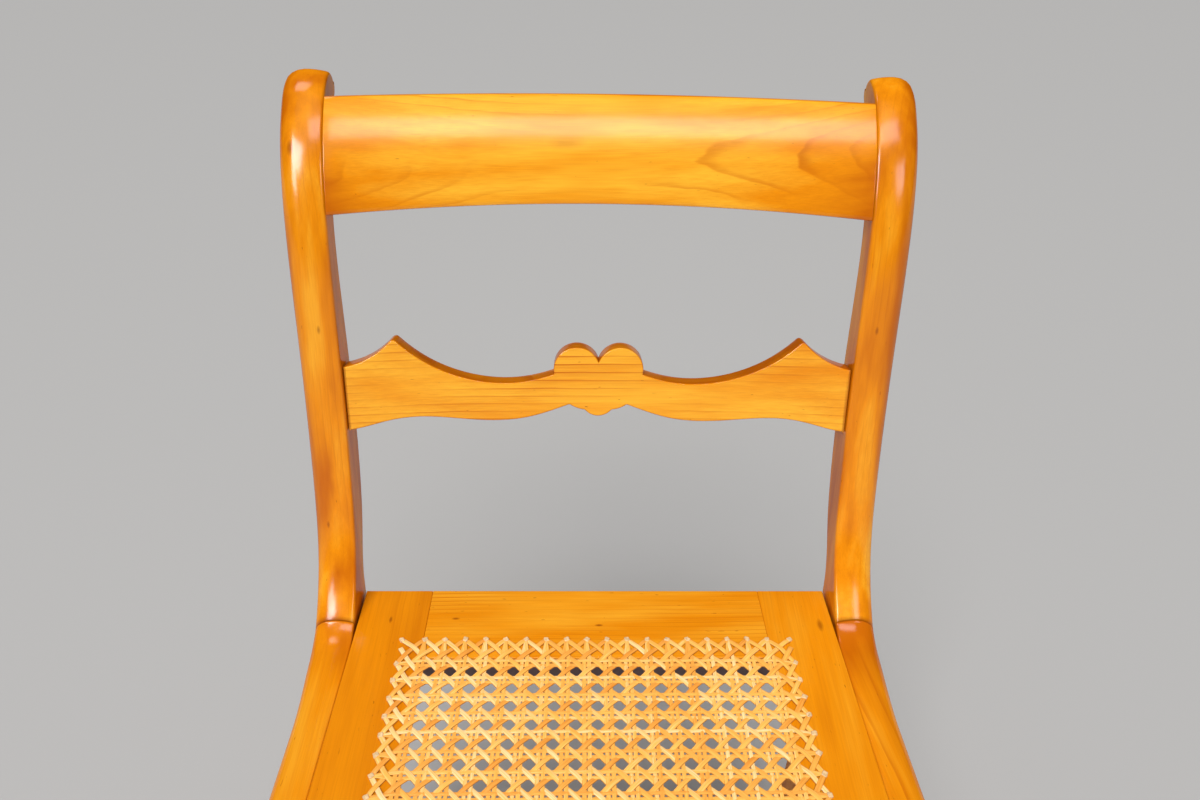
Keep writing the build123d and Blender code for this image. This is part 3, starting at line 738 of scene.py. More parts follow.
def split_cane(name):
    """Rattan bark split into flat strands and woven damp.

    The eye sees pale gold straw with a glossy skin, strand by strand a little lighter or browner, with
    streaks along each strand. One set of slants is painted darker for how the light falls on it, and the
    edges of each strand get painted shade for the shade in the slits between strands. The strands' own
    attributes place the colour.
    """
    colours = bpy.context.scene.chair_colours
    material, tree, shader = fresh_material(name)
    own = add_node(tree, "ShaderNodeAttribute", attribute_name="strand_place").outputs["Vector"]
    parts = add_node(tree, "ShaderNodeSeparateXYZ", {0: own})
    # Fibre streaks: about four across a strand, and some two centimetres long
    drawn = add_node(tree, "ShaderNodeVectorMath", {0: own, 1: CANE_STREAK}, operation="MULTIPLY")
    streaking = {"Vector": drawn.outputs[0], "Scale": 1.0, "Detail": 2.0}
    streak = add_node(tree, "ShaderNodeTexNoise", streaking).outputs["Fac"]
    mixed = add_node(tree, "ShaderNodeMath", {0: streak, 1: parts.outputs["Z"]}, operation="ADD")
    base = add_node(tree, "ShaderNodeMapRange", {"Value": mixed.outputs[0], "From Min": 0.3, "From Max": 1.7})
    ground = add_node(tree, "ShaderNodeValToRGB", {"Fac": base.outputs[0]})
    ground.color_ramp.elements[0].color = rgba(colours.cane_light)
    ground.color_ramp.elements[1].color = rgba(colours.cane_dark)
    ground.color_ramp.elements.new(0.4).color = rgba(colours.cane_mid)
    # Painted shade: the outer part of each strand turns to the edge colour
    beside = add_node(tree, "ShaderNodeMath", {0: parts.outputs["X"]}, operation="ABSOLUTE")
    rim = add_node(tree, "ShaderNodeMapRange", {"Value": beside.outputs[0], "From Min": 0.78, "To Max": 0.85})
    laying = {"Factor": rim.outputs[0], "A": ground.outputs["Color"], "B": rgba(colours.cane_edge_shade)}
    edged = add_node(tree, "ShaderNodeMix", laying, data_type="RGBA")
    tree.links.new(edged.outputs["Result"], shader.inputs["Base Color"])
    gloss = add_node(tree, "ShaderNodeMapRange", {"Value": streak, "To Min": 0.3, "To Max": 0.5})
    tree.links.new(gloss.outputs[0], shader.inputs["Roughness"])
    bump = add_node(tree, "ShaderNodeBump", {"Height": streak, "Strength": 0.2, "Distance": 0.0003})
    tree.links.new(bump.outputs["Normal"], shader.inputs["Normal"])
    shader.inputs["Specular IOR Level"].default_value = 0.35
    return material


def dull_material(name, tint, dark_share, scale_mm, rough, metallic=0.0):
    """A plain ground with soft darker patches of a given size, as on bare wood, a split peg or dull steel.

    The patches have a third of the ground's light, by dark_share at most, and shift the roughness.
    """
    material, tree, shader = fresh_material(name)
    where = add_node(tree, "ShaderNodeTexCoord").outputs["Object"]
    patching = {"Vector": where, "Scale": MM / scale_mm, "Detail": 4.0}
    patch = add_node(tree, "ShaderNodeTexNoise", patching).outputs["Fac"]
    sharing = {"Value": patch, "From Min": 0.3, "From Max": 0.75, "To Max": dark_share}
    share = add_node(tree, "ShaderNodeMapRange", sharing)
    darker = rgba([part * 0.35 for part in tint])
    laying = {"Factor": share.outputs[0], "A": rgba(tint), "B": darker}
    mixed = add_node(tree, "ShaderNodeMix", laying, data_type="RGBA")
    tree.links.new(mixed.outputs["Result"], shader.inputs["Base Color"])
    shining = {"Value": patch, "To Min": rough - 0.1, "To Max": rough + 0.1}
    gloss = add_node(tree, "ShaderNodeMapRange", shining)
    tree.links.new(gloss.outputs[0], shader.inputs["Roughness"])
    shader.inputs["Metallic"].default_value = metallic
    return material


class CHAIR_OT_rear_posts(bpy.types.Operator):
    """Two S-curved posts, each a plate cut to its side view with a rounded outer edge"""

    bl_idname = "chair.rear_posts"
    bl_label = "Rear posts"

    def execute(self, context):
        # Side view, from the foot to the tip of the scroll in front and behind
        foot_slope = heading(HEEL_SLOPE) * np.array([-1, 1])
        leg_top = np.array([JOINT[0], RAIL_UNDER])
        front_leg = cubic([HEEL - [FOOT_DEPTH, 0], leg_top], foot_slope, [0, 1], 40)
        rear_leg = cubic([HEEL, KNEE], foot_slope, [0, 1], 40)
        heights = np.linspace(RAIL_UNDER, JOINT[1] - HORN_DROP, 8)
        joint = np.stack([np.full(len(heights), JOINT[0]), heights], axis=1)
        tip = arc(SCROLL_MIDDLE, SCROLL_RADIUS, 180 - ROLL_END, SCROLL_TIP, 14)
        under = arc(SCROLL_MIDDLE, SCROLL_RADIUS, -SCROLL_TURN, SCROLL_TIP, 14)
        upper_front = chain(STILE, tip)
        upper_rear = chain(cubic(REAR_POINTS, [0, 1], heading(SCROLL_TURN), 120), under)
        front = np.vstack([front_leg, joint[1:], upper_front])
        lower = len(front_leg)
        rear = np.vstack([rear_leg, resampled_like(upper_rear, front[lower - 1 :])[1:]])
        front_in = np.vstack([right_of(front_leg), right_of(joint)[1:], right_of(upper_front)])
        front_in[0] = [1, 0]
        rear_in = -right_of(rear)
        rear_in[0] = [-1, 0]
        count = len(front)
        start = count - len(upper_front)
        loop = np.vstack([front, rear[::-1]])
        normals = np.vstack([front_in, rear_in[::-1]])
        # The outer edge is as round as the rail at the horn, and rounder again at the scroll
        post_edge, rail_edge = outer_edges()
        horn = 40
        scroll = 26
        ease = np.full((2, 2 * count), LEG_EDGE)
        ease[:, lower:start] = TIGHT_EDGE
        ease[:, start:count] = post_edge[:, None]
        ease[:, start : start + horn] = faded(horn, rail_edge, post_edge)
        ease[:, count - scroll : count] = faded(scroll, post_edge, SCROLL_EDGE)
        ease[:, count:] = REAR_EDGE[:, None]
        ease[:, count : count + scroll] = faded(scroll, SCROLL_EDGE, REAR_EDGE)
        arris = context.scene.chair_sizes.arris * MM * POST_ARRIS
        crown = np.zeros(2 * count)
        crown[start:count] = CROWN
        shear = np.zeros_like(loop)
        shear[start:count] = joint_shear(upper_front, right_of(upper_front), False)
        points, faces = plate(loop, normals, INNER, OUTER, (arris, arris), ease, crown, shear, spans=8)
        points[..., 1] += JOINT_GAP * (points[..., 1] < JOINT[0] + JOINT_GAP)
        # The seam at the joint is dark, and painted shade darkens the rounded outer edge above it, more on
        # the left post
        place = np.arange(2 * count)
        seam = np.broadcast_to(1.0 * (place >= lower) * (place <= start), points.shape[:2])
        along = np.r_[np.zeros(start), np.sin(np.linspace(0, pi, count - start)), np.zeros(count)]
        shaded_edge_width = 11.0
        # Painted shade over the outer edge's rounding, strongest halfway up the post
        deep = along * ramp(points[..., 0], OUTER - shaded_edge_width, OUTER)
        right = polished_cherry(
            "polished_cherry_post",
            turn=(-9, 0, 0),
            pith=(455, 120, 640),
            ring_mm=5.0,
            tone=0.08,
            figure=0.8,
            lines=0.6,
            knots=[(201, 184, 679, 1.5, 0.6)],
        )
        left = polished_cherry(
            "polished_cherry_post_left",
            turn=(-9, 1, 0),
            pith=(-440, 130, 640),
            ring_mm=5.0,
            tone=0.1,
            figure=0.8,
            lines=0.6,
            knots=[(-201, 183, 677, 1.6, 0.6), (-208, 149, 525, 1.5, 0.6), (-210, 217, 797, 3.0, 0.6)],
        )
        twins = [("right", right, points, 0.25), ("left", left, mirrored(points), 0.5)]
        for hand, wood, spots, strength in twins:
            name = "rear_post_" + hand
            piece = add_piece(name + "_polished", spots, faces, wood, "polished_cherry", name)
            darken(piece, seam, strength * deep)
        return {"FINISHED"}


class CHAIR_OT_crest_rail(bpy.types.Operator):
    """The crest: the posts' front curve as its section, carried round the bow"""

    bl_idname = "chair.crest_rail"
    bl_label = "Crest rail"

    def execute(self, context):
        top = SEAT_TOP + BACK_HEIGHT - CREST_DROP
        inside = (STILE[:, 1] > top - CREST_HEIGHT) & (STILE[:, 1] < top)
        front = np.vstack([stile_at(top - CREST_HEIGHT), STILE[inside], stile_at(top)])
        front = even_steps(front, 40)
        rear = front + right_of(front) * CREST_THICKNESS
        # The section's halves meet in the middle of its lower and upper edges
        half = 6
        low_edge = even_steps(np.vstack([rear[0], front[0]]), 2 * half)
        high_edge = even_steps(np.vstack([rear[-1], front[-1]]), 2 * half)
        first = softened(np.vstack([low_edge[half:-1], front, high_edge[::-1][1:half]]))
        second = softened(np.vstack([low_edge[:half][::-1][:-1], rear, high_edge[1:half]]))
        loop = np.vstack([first, resampled_like(second, first)[::-1]])
        ease = context.scene.chair_sizes.arris * MM * CREST_ARRIS
        rims = (ease, ease)
        points, faces = plate(loop, loop_normals(loop), -RAIL_HALF, RAIL_HALF, rims, rims, spans=48)
        # The lower edge is sawn in an arch: points rise along the face, less and less towards the upper edge
        share = np.clip((top - points[..., 2]) / CREST_HEIGHT, 0, 1) ** 2
        rise = CREST_ARCH * share * (1 - (points[..., 0] / INNER) ** 2)
        points[..., 1:] += rise[..., None] * unit(*(front[1] - front[0]))
        points[..., 1] = bowed(points[..., 1], points[..., 0], CREST_BOW, INNER)
        wood = polished_cherry(
            "polished_cherry_crest",
            turn=(0, 89, 1),
            pith=(0, 142, 825),
            ring_mm=4.6,
            tone=-0.34,
            figure=0.6,
            lines=0.75,
            knots=[(-24, 234, 799, 6.0, 0.22)],
        )
        piece = add_piece("crest_rail_polished", points, faces, wood, "polished_cherry", "crest_rail")
        # Painted shade deepens the ends, most of all low down, and the rounded upper edge; the shoulders are
        # dark seams
        edge = np.abs(np.arange(len(loop)) - len(first) + 0.5) < half
        ends = (np.abs(points[..., 0]) / INNER) ** 5
        low_down = np.clip(0.25 + 2.4 * share, 0, 1)
        # Painted shade: deeper colour at the ends and a dark line along the upper edge
        deep = 0.85 * ends * low_down + 0.4 * edge
        shoulder = np.abs(points[..., 0]) > RAIL_HALF - 0.1
        darken(piece, np.maximum(edge, shoulder), deep)
        return {"FINISHED"}


class CHAIR_OT_cross_rail(bpy.types.Operator):
    """The sawn cross rail: a leaning board with wings, lobes and a pendant, carried round a shallow bow"""

    bl_idname = "chair.cross_rail"
    bl_label = "Sawn cross rail"

    def execute(self, context):
        loop = self.outline()
        ease = context.scene.chair_sizes.arris * MM * MID_ARRIS
        rims = (ease, ease)
        points, faces = plate(loop, loop_normals(loop), 0.0, MID_THICKNESS, rims, rims, spans=3)
        base = stile_at(SEAT_TOP + MID_LOW)
        upper = stile_at(SEAT_TOP + MID_LOW + MID_HEIGHT)
        lean = atan2(upper[0] - base[0], upper[1] - base[1])
        depth, x, rise = points[..., 0], points[..., 1], points[..., 2]
        depth = depth + bowed(0.0, x, MID_BOW, INNER) * cos(lean)
        y = base[0] + MID_SETBACK + rise * sin(lean) + depth * cos(lean)
        z = base[1] + rise * cos(lean) - depth * sin(lean)
        placed = np.stack([x, y, z], axis=-1)
        wood = polished_cherry(
            "polished_cherry_cross_rail",
            turn=(0, 89.4, 0),
            pith=(0, 150, 470),
            ring_mm=6.2,
            tone=-0.5,
            figure=0.6,
            lines=1.15,
            sway_mm=9.0,
        )
        piece = add_piece("mid_rail_polished", placed, faces, wood, "polished_cherry", "mid_rail")
        # Sawn edges darker, part painted shade and part cut grain; the wings and right end deeper in tone
        rim = np.linspace(0, 1, RIM_STEPS)
        sawn = np.r_[0, rim, 1, 1, rim[::-1], 0][:, None]
        wings = ramp(rise, 38.0, 68.0) * ramp(np.abs(x), 60.0, 100.0)
        # Painted shade on the sawn edge faces, together with the deeper tone of the wings and the right end
        deep = 0.3 * wings + 0.16 * ramp(x, 0.0, RAIL_HALF) + 0.7 * sawn
        shoulder = np.abs(x) > RAIL_HALF - 1.4
        darken(piece, np.maximum(0.55 * sawn, shoulder), deep)
        return {"FINISHED"}

    @staticmethod
    def outline():
        """Closed outline of the board, as (x, rise over its lower end). Half is drawn and then mirrored.

        Below it sweeps from the end to a cusp, a shoulder and the pendant. Above it goes over the wing
        and down to a lobe, an arc from its foot to the notch in the middle.
        """
        end = RAIL_HALF
        cusp = [21.8, 18.2]
        shoulder = [10.2, 13.8]
        pendant = [0, 8.8]
        low_wave = [[end - 32.6, 7.2], [end - 53, 9.3], [end - 93, 6.2], [end - 133.75, 7.6]]
        under = chain(
            cubic([[end, 0], *low_wave, cusp], unit(-1, 0.1), unit(-1, 0.38), 90),
            cubic([cusp, shoulder], unit(-0.8, -0.6), unit(-1, -0.1), 14),
            cubic([shoulder, pendant], unit(-0.6, -0.8), unit(-1, 0), 14),
        )
        drop = LOBE_FOOT - LOBE_RISE
        foot = degrees(atan2(drop, (LOBE_RADIUS**2 - drop**2) ** 0.5))
        notch = degrees(atan2((LOBE_RADIUS**2 - LOBE_SPREAD**2) ** 0.5, -LOBE_SPREAD))
        lobe = arc([LOBE_SPREAD, LOBE_RISE], LOBE_RADIUS, foot, notch, 50)
        wing = end - WING_INSET
        tip_out = [wing + 2.8, 68.6]
        tip_in = [wing - 2.8, 68.2]
        over = chain(
            cubic([[end, MID_HEIGHT], [end - 20.6, 57.6], tip_out], None, None, 30),
            cubic([tip_out, [wing, 69.9], tip_in], None, None, 8),
            cubic([tip_in, [end - 66, 48.6], [67.0, 35.6], lobe[0]], None, None, 60),
            lobe,
        )
        right_low = paired_by_x(under, over)
        low = np.vstack([right_low, right_low[::-1][1:] * [-1, 1]])
        high = np.vstack([over, over[::-1][1:] * [-1, 1]])
        return np.vstack([low, high[::-1]])


class CHAIR_OT_side_rails(bpy.types.Operator):
    """Side rails, level along the seat and swept up to the posts, with a rounded outer edge"""

    bl_idname = "chair.side_rails"
    bl_label = "Side rails"

    def execute(self, context):
        turn = 90 - HORN_ANGLE
        radius = (JOINT[1] - RAIL_TOP) / (1 - cos(radians(turn)))
        begin = JOINT[0] - radius * sin(radians(turn))
        level = np.stack([np.linspace(LEG_REAR, begin, 30), np.full(30, RAIL_TOP)], axis=1)
        top = chain(level, arc([begin, RAIL_TOP + radius], radius, -90, turn - 90, 24))
        under = top * [1, 0] + [0, RAIL_UNDER]
        loop = np.vstack([top, under[::-1]])
        way_in = right_of(top)
        count = len(top)
        normals = np.vstack([way_in, np.tile([0.0, 1.0], (count, 1))])
        ease = np.full((2, 2 * count), UNDER_EDGE)
        ease[:, :count] = outer_edges()[1][:, None]
        arris = context.scene.chair_sizes.arris * MM
        crown = np.r_[np.full(count, CROWN), np.zeros(count)]
        shear = np.vstack([joint_shear(top, way_in, True), np.zeros_like(under)])
        points, faces = plate(loop, normals, INNER, OUTER, (arris, arris), ease, crown, shear, spans=8)
        points = tapered(points)
        points[..., 1] -= JOINT_GAP * (points[..., 1] > JOINT[0] - JOINT_GAP)
        # Painted shade deepens the rail near the post, where it sweeps up into the joint, and the seam is
        # darkest
        run = JOINT[0] - points[..., 1]
        seam = 1.0 * (run < JOINT_GAP + 0.2)
        # Painted shade: deeper colour over the last 66 mm before the joint, twice as strong on the right rail
        deep = 0.6 * (1 - ramp(run, 0.0, 66.0))
        right = polished_cherry(
            "polished_cherry_side_rail",
            turn=(-90, 0, 5),
            pith=(420, 0, 380),
            ring_mm=13.0,
            tone=0.05,
            figure=0.5,
            lines=0.8,
        )
        left = polished_cherry(
            "polished_cherry_side_rail_left",
            turn=(-90, 0, 2),
            pith=(-460, 0, 330),
            ring_mm=12.0,
            tone=-0.05,
            figure=0.45,
            lines=0.3,
        )
        twins = [("right", right, points, 1.0), ("left", left, mirrored(points), 0.5)]
        for hand, wood, spots, strength in twins:
            name = "side_rail_" + hand
            piece = add_piece(name + "_polished", spots, faces, wood, "polished_cherry", name)
            darken(piece, seam, strength * deep)
        return {"FINISHED"}


class CHAIR_OT_front_legs(bpy.types.Operator):
    """Sabre front legs, whose rounded tops run on from the side rails"""

    bl_idname = "chair.front_legs"
    bl_label = "Front legs"

    def execute(self, context):
        toe = np.array([LEG_LOW[1], 0.0])
        slope = heading(TOE_SLOPE)
        brow = arc([SEAT_FRONT + LEG_BROW, RAIL_TOP - LEG_BROW], LEG_BROW, 180, 90, 16)
        shin = cubic([toe, brow[0]], slope, [0, 1], 60)
        flat = np.stack([np.linspace(brow[-1][0], LEG_REAR, 10), np.full(10, RAIL_TOP)], axis=1)
        front = chain(shin, brow, flat)
        calf = cubic([toe + [TOE_DEPTH, 0], [LEG_REAR, RAIL_UNDER]], slope, [0, 1], 60)
        joint = np.stack([np.full(20, LEG_REAR), np.linspace(RAIL_UNDER, RAIL_TOP, 20)], axis=1)
        rear = resampled_like(chain(calf, joint), front)
        loop = np.vstack([front, rear[::-1]])
        normals = np.vstack([right_of(front), -right_of(rear)[::-1]])
        normals[0] = [1, 0]
        normals[-1] = [-1, 0]
        count = len(front)
        post_edge, rail_edge = outer_edges()
        blend = 24
        ease = np.full((2, 2 * count), LEG_EDGE)
        ease[:, :count] = post_edge[:, None]
        ease[:, count - blend : count] = faded(blend, post_edge, rail_edge)
        behind_rail = np.r_[np.zeros(count, bool), rear[::-1, 1] > RAIL_UNDER]
        ease[:, behind_rail] = TIGHT_EDGE
        arris = context.scene.chair_sizes.arris * MM
        crown = np.r_[np.full(count, CROWN), np.zeros(count)]
        points, faces = plate(loop, normals, INNER, OUTER, (arris, arris), ease, crown, spans=8)
        points = tapered(points)
        points[..., 1] -= JOINT_GAP * (points[..., 1] > LEG_REAR - JOINT_GAP)
        wood = polished_cherry(
            "polished_cherry_leg",
            turn=(5, 0, 0),
            pith=(520, -120, 0),
            ring_mm=6.0,
            tone=0.06,
            figure=0.5,
            lines=0.5,
        )
        for name, spots in (("front_leg_right", points), ("front_leg_left", mirrored(points))):
            add_piece(name + "_polished", spots, faces, wood, "polished_cherry", name)
        return {"FINISHED"}


class CHAIR_OT_seat_frame(bpy.types.Operator):
    """The caned frame's four boards, and the cross rails under it"""

    bl_idname = "chair.seat_frame"
    bl_label = "Seat frame"

    def execute(self, context):
        self.sides()
        self.ends()
        self.cross_rails(context.scene.chair_colours)
        return {"FINISHED"}

    @staticmethod
    def sides():
        """The two long boards, from front to back."""
        left = polished_cherry(
            "polished_cherry_seat_left",
            turn=(-90, 0, 1),
            pith=(-470, 0, 380),
            ring_mm=5.0,
            tone=0.1,
            figure=0.3,
            lines=0.3,
            knots=[(-162, 117, 455, 1.6, 0.7)],
        )
        right = polished_cherry(
            "polished_cherry_seat_right",
            turn=(-90, 0, -2),
            pith=(440, 0, 360),
            ring_mm=6.0,
            tone=-0.04,
            figure=0.35,
            lines=0.35,
            knots=[(177, 111, 455, 3.0, 0.6)],
        )
        low, high = node_box("seat_frame_right")
        high[0] -= FRAME_SIDE_GAP
        rounds = (FRAME_EDGE, FRAME_EDGE, FRAME_EDGE, FRAME_NOSE)
        points, faces = board(low, high, rounds, FRAME_EDGE, SIDE_BEVEL)
        for hand, wood, spots in (("right", right, points), ("left", left, mirrored(points))):
            name = "seat_frame_" + hand
            add_piece(name + "_polished", spots, faces, wood, "seat_frame_cherry", name)

    @staticmethod
    def ends():
        """The rear and front boards between the long ones."""
        wood = polished_cherry(
            "polished_cherry_seat_end",
            turn=(0, 90, 0.6),
            pith=(0, 420, 380),
            ring_mm=4.2,
            tone=-0.12,
            figure=0.35,
            lines=0.9,
            knots=[(-111, 118, 455, 1.5, 0.7), (2, 111, 455, 1.5, 0.75)],
            sway_mm=12.0,
        )
        half = -SEAT_LOW[0] - FRAME_TENON - FRAME_JOINT_GAP
        rear_rounds = (REAR_BEVEL, FRAME_EDGE, FRAME_EDGE, FRAME_EDGE)
        front_rounds = (FRAME_EDGE, FRONT_BEVEL, FRAME_EDGE, FRAME_NOSE)
        for name, rounds in (("seat_frame_rear", rear_rounds), ("seat_frame_front", front_rounds)):
            low, high = node_box(name)
            low[0] = -half
            high[0] = half
            points, faces = board(low, high, rounds, FRAME_EDGE)
            add_piece(name + "_polished", points, faces, wood, "seat_frame_cherry", name)

    @staticmethod
    def cross_rails(colours):
        """The rails under the frame, with a painted shadow on the rear one's inner face under the cane."""
        wood = polished_cherry(
            "polished_cherry_cross",
            turn=(0, 90, 0),
            pith=(0, 60, 200),
            ring_mm=6.0,
            tone=0.15,
            figure=0.4,
            lines=0.5,
        )
        # Painted shadow: a flat greyish brown for the shade that falls on this face under the cane
        painted_shadow_finish = dull_material("painted_rail_shadow", colours.rail_shadow_colour, 0.3, 12.0, 0.6)
        for name in ("rear_seat_rail", "front_seat_rail"):
            low, high = node_box(name)
            low[0] = -INNER
            high[0] = INNER
            points, faces = board(low, high, RAIL_ROUNDS, RAIL_EDGE)
            piece = add_piece(name + "_polished", points, faces, wood, "polished_cherry", name)
            if name == "rear_seat_rail":
                polygons = piece.data.polygons
                piece.data.materials.append(painted_shadow_finish)
                facing = np.zeros(3 * len(polygons), np.float32)
                polygons.foreach_get("normal", facing)
                # The inner face is the one that looks forward
                inner = facing.reshape(-1, 3)[:, 1] < -0.3
                polygons.foreach_set("material_index", inner.astype(np.int32))


class CHAIR_OT_cane(bpy.types.Operator):
    """Six-way caning: straight pairs both ways and two sets of slanting strands, woven over and under"""

    bl_idname = "chair.cane"
    bl_label = "Woven cane"

    def execute(self, context):
        sizes = context.scene.chair_sizes
        pitch = sizes.cane_pitch * MM
        side = PEG_SIDE / pitch
        end = PEG_END / pitch
        cane = split_cane("split_rattan_cane")
        draw = np.random.default_rng(7)
        # Front-to-back pairs stand at half steps across, and side-to-side pairs at whole steps
        straight = self.pairs(COLUMNS, end, sizes, draw, apart=0.118, closing_run=1.3, phase=0.0)
        straight += self.pairs(ROWS, side, sizes, draw, apart=0.142, closing_run=1.0, phase=0.5)
        self.add("cane_straight_strands", straight, cane)
        for name, hand in (("cane_slanting_strands_a", -1), ("cane_slanting_strands_b", 1)):
            self.add(name, self.slants(hand, side, end, sizes, draw), cane)
        return {"FINISHED"}

    @staticmethod
    def placed(x, y, z, sizes):
        """Weave steps from the middle of the seat and a height, as points in millimetres."""
        pitch = sizes.cane_pitch * MM
        return np.stack([x * pitch, SEAT_MIDDLE + y * pitch, z], axis=-1)

    @classmethod
    def pairs(cls, places, half, sizes, draw, apart, closing_run, phase):
        """Straight pairs over a half span, whose two strands close up and sink into the peg at each end.

        The strands stand apart on both sides of their place and rise in turn by a cosine of the run, once
        in a step. A phase of half a step is for the pairs that run from side to side. Each strand strays
        a little, and its width and shade vary.
        """
        strands = []
        dense = 11
        lift = 0.2
        sink_run = 0.35
        run = np.linspace(-half, half, int(2 * half * dense))
        to_peg = half - np.abs(run)
        closing = smooth(np.clip(to_peg / closing_run, 0, 1))
        sink = -1.0 * (1 - np.clip(to_peg / sink_run, 0, 1)) ** 2
        for place in places:
            for which in (-1, 1):
                aside = place + (which * apart * closing + draw.normal(0, 0.006))
                over = lift * which * np.cos(2 * pi * (run - phase))
                z = CANE_LEVEL + sink + over * closing
                path = cls.placed(run, aside, z, sizes) if phase else cls.placed(aside, run, z, sizes)
                wide = sizes.pair_strand * MM * draw.normal(1, 0.05)
                strands.append(strand(path, wide, sizes.strand_thickness * MM, draw.uniform(0.1, 0.75)))
        return strands

    @classmethod
    def slants(cls, hand, side, end, sizes, draw):
        """Slanting strands y = c - x at whole steps c, or their mirror images, woven by a cosine of x.

        One set lies over the other. Each strand sinks into its pegs, strays a little, and varies in width
        and shade. The set with hand 1 is painted darker and the other stays paler, as painted light and shade
        for how the light falls on the two sets.
        """
        strands = []
        lift = 0.6
        weave_run = 0.9
        sink_run = 0.4
        layer = 0.12 * hand
        # Painted light and shade: the slants of hand 1 are shifted darker and the others stay paler
        darker = 0.15 * (hand + 1)
        for step in SLANTS:
            path = cls.slant(step, side, end)
            x, y = path[:, 0], path[:, 1]
            to_peg = np.minimum(np.hypot(x - x[0], y - y[0]), np.hypot(x - x[-1], y - y[-1]))
            weave = np.clip(to_peg / weave_run, 0, 1) * lift * np.cos(2 * pi * x) * -hand
            sink = -1.0 * (1 - np.clip(to_peg / sink_run, 0, 1)) ** 2
            jitter = draw.normal(0, 0.008)
            wide = sizes.slant_strand * MM * draw.normal(1, 0.05)
            z = CANE_LEVEL + weave + sink + layer
            spots = cls.placed(hand * -x, y + jitter, z, sizes)
            shade = draw.uniform(0, 0.6) + darker
            strands.append(strand(spots, wide, sizes.strand_thickness * MM, shade))
        return strands

    @staticmethod
    def slant(step, side, end):
        """Path of y = step - x in weave steps, straight to the end pegs and bent to the side pegs."""
        dense = 16
        bend = side - SLANT_BEND
        last_row = ROWS[-1]
        first_x = max(step - end, -bend)
        last_x = min(step + end, bend)
        count = max(8, int((last_x - first_x) * dense))
        x = np.linspace(first_x, last_x, count)
        line = np.stack([x, step - x], axis=1)
        # Past the last row of side pegs a strand goes to the corner peg
        if step - end < -bend:
            limit = end if line[0, 1] > last_row - SLANT_BEND else last_row
            peg = np.array([[-side, min(np.round(line[0, 1] + 1.0), limit)]])
            line = np.vstack([even_steps(np.vstack([peg, line[:1]]), dense)[:-1], line])
        if step + end > bend:
            limit = -end if line[-1, 1] < SLANT_BEND - last_row else -last_row
            peg = np.array([[side, max(np.round(line[-1, 1] - 1.0), limit)]])
            line = np.vstack([line, even_steps(np.vstack([line[-1:], peg]), dense)[1:]])
        for _ in range(6):
            line = softened(line)
        return line

    @staticmethod
    def add(name, strands, cane):
        """One piece from a set of strands, whose points keep their places and shades for the material."""
        points, faces, own = bundle(strands)
        piece = add_piece(name, points, faces, cane, "cane", "cane_panel")
        attribute = piece.data.attributes.new("strand_place", "FLOAT_VECTOR", "POINT")
        attribute.data.foreach_set("vector", own.astype(np.float32).ravel())


class CHAIR_OT_pegs(bpy.types.Operator):
    """Split pegs that hold the cane in the border holes"""

    bl_idname = "chair.pegs"
    bl_label = "Cane pegs"

    def execute(self, context):
        sizes = context.scene.chair_sizes
        pitch = sizes.cane_pitch * MM
        across = np.r_[-PEG_SIDE, COLUMNS * pitch, PEG_SIDE]
        rows = SEAT_MIDDLE + ROWS * pitch
        spots = []
        for hand in (-1, 1):
            spots.append(np.stack([across, np.full(len(across), SEAT_MIDDLE + hand * PEG_END)], axis=1))
        for hand in (-1, 1):
            spots.append(np.stack([np.full(len(rows), hand * PEG_SIDE), rows], axis=1))
        spots = np.vstack(spots)
        draw = np.random.default_rng(3)
        count = len(spots)
        # Each peg has six corners, unevenly spaced
        columns = 6
        around = np.linspace(0, 2 * pi, columns + 1)[:-1] + 0.3 * np.sin(np.arange(columns) * 2.2)
        # Rings from the foot in the hole to the chopped top: (share of the radius, height over the seat)
        rings = np.array([(0.92, -6.0), (1.0, 0.6), (1.0, 1.5), (0.8, 1.9), (0.05, 1.9)])
        heights = rings[None, :, 1:]
        # Pegs vary in girth and height, and their tops are rough
        lumpy = 1 + draw.normal(0, 0.09, (count, 1, columns))
        reach = sizes.peg_width * MM / 2 * rings[None, :, :1] * lumpy
        tall = heights + draw.normal(0, 0.18, (count, 1, 1)) * (heights > 0)
        tall = tall + draw.normal(0, 0.12, (count, 1, columns)) * (heights > 1)
        turn = around + draw.uniform(0, pi, (count, 1, 1))
        x = spots[:, None, None, 0] + reach * np.cos(turn)
        y = spots[:, None, None, 1] + reach * np.sin(turn)
        z = np.broadcast_to(SEAT_TOP + tall, x.shape)
        points = np.stack([x, y, z], axis=-1)
        ends = np.array([[0, 5, 4, 1], [1, 4, 3, 2]])
        tops = ends[:, ::-1] + (len(rings) - 1) * columns
        one = np.vstack([grid_faces(len(rings), columns), ends, tops])
        every = (one[None] + np.arange(count)[:, None, None] * len(rings) * columns).reshape(-1, 4)
        # Cane split and chopped, pale straw with brown specks in its open ends
        wood = dull_material("split_cane_peg", context.scene.chair_colours.peg, 0.5, 2.2, 0.6)
        add_piece("cane_pegs_split", points, every, wood, "cane_peg", "cane_pegs")
        return {"FINISHED"}


class CHAIR_OT_underseat(bpy.types.Operator):
    """Finishes for the corner blocks and screws, whose solids stay as they are"""

    bl_idname = "chair.underseat"
    bl_label = "Blocks and screws"

    def execute(self, context):
        colours = context.scene.chair_colours
        # Beech, planed and left bare, an even pale tan with soft darker patches
        beech = dull_material("planed_beech", colours.beech, 0.35, 9.0, 0.6)
        # Steel, dulled by age, grey with fine darker spots
        steel = dull_material("dull_screw_steel", colours.steel, 0.4, 1.5, 0.45, 1.0)
        corners = [f"corner_block_{end}_{hand}" for end in ("rear", "front") for hand in ("right", "left")]
        for names, finish in ((corners, beech), (["seat_screws"], steel)):
            for name in names:
                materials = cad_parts[name].data.materials
                materials.clear()
                materials.append(finish)
        return {"FINISHED"}


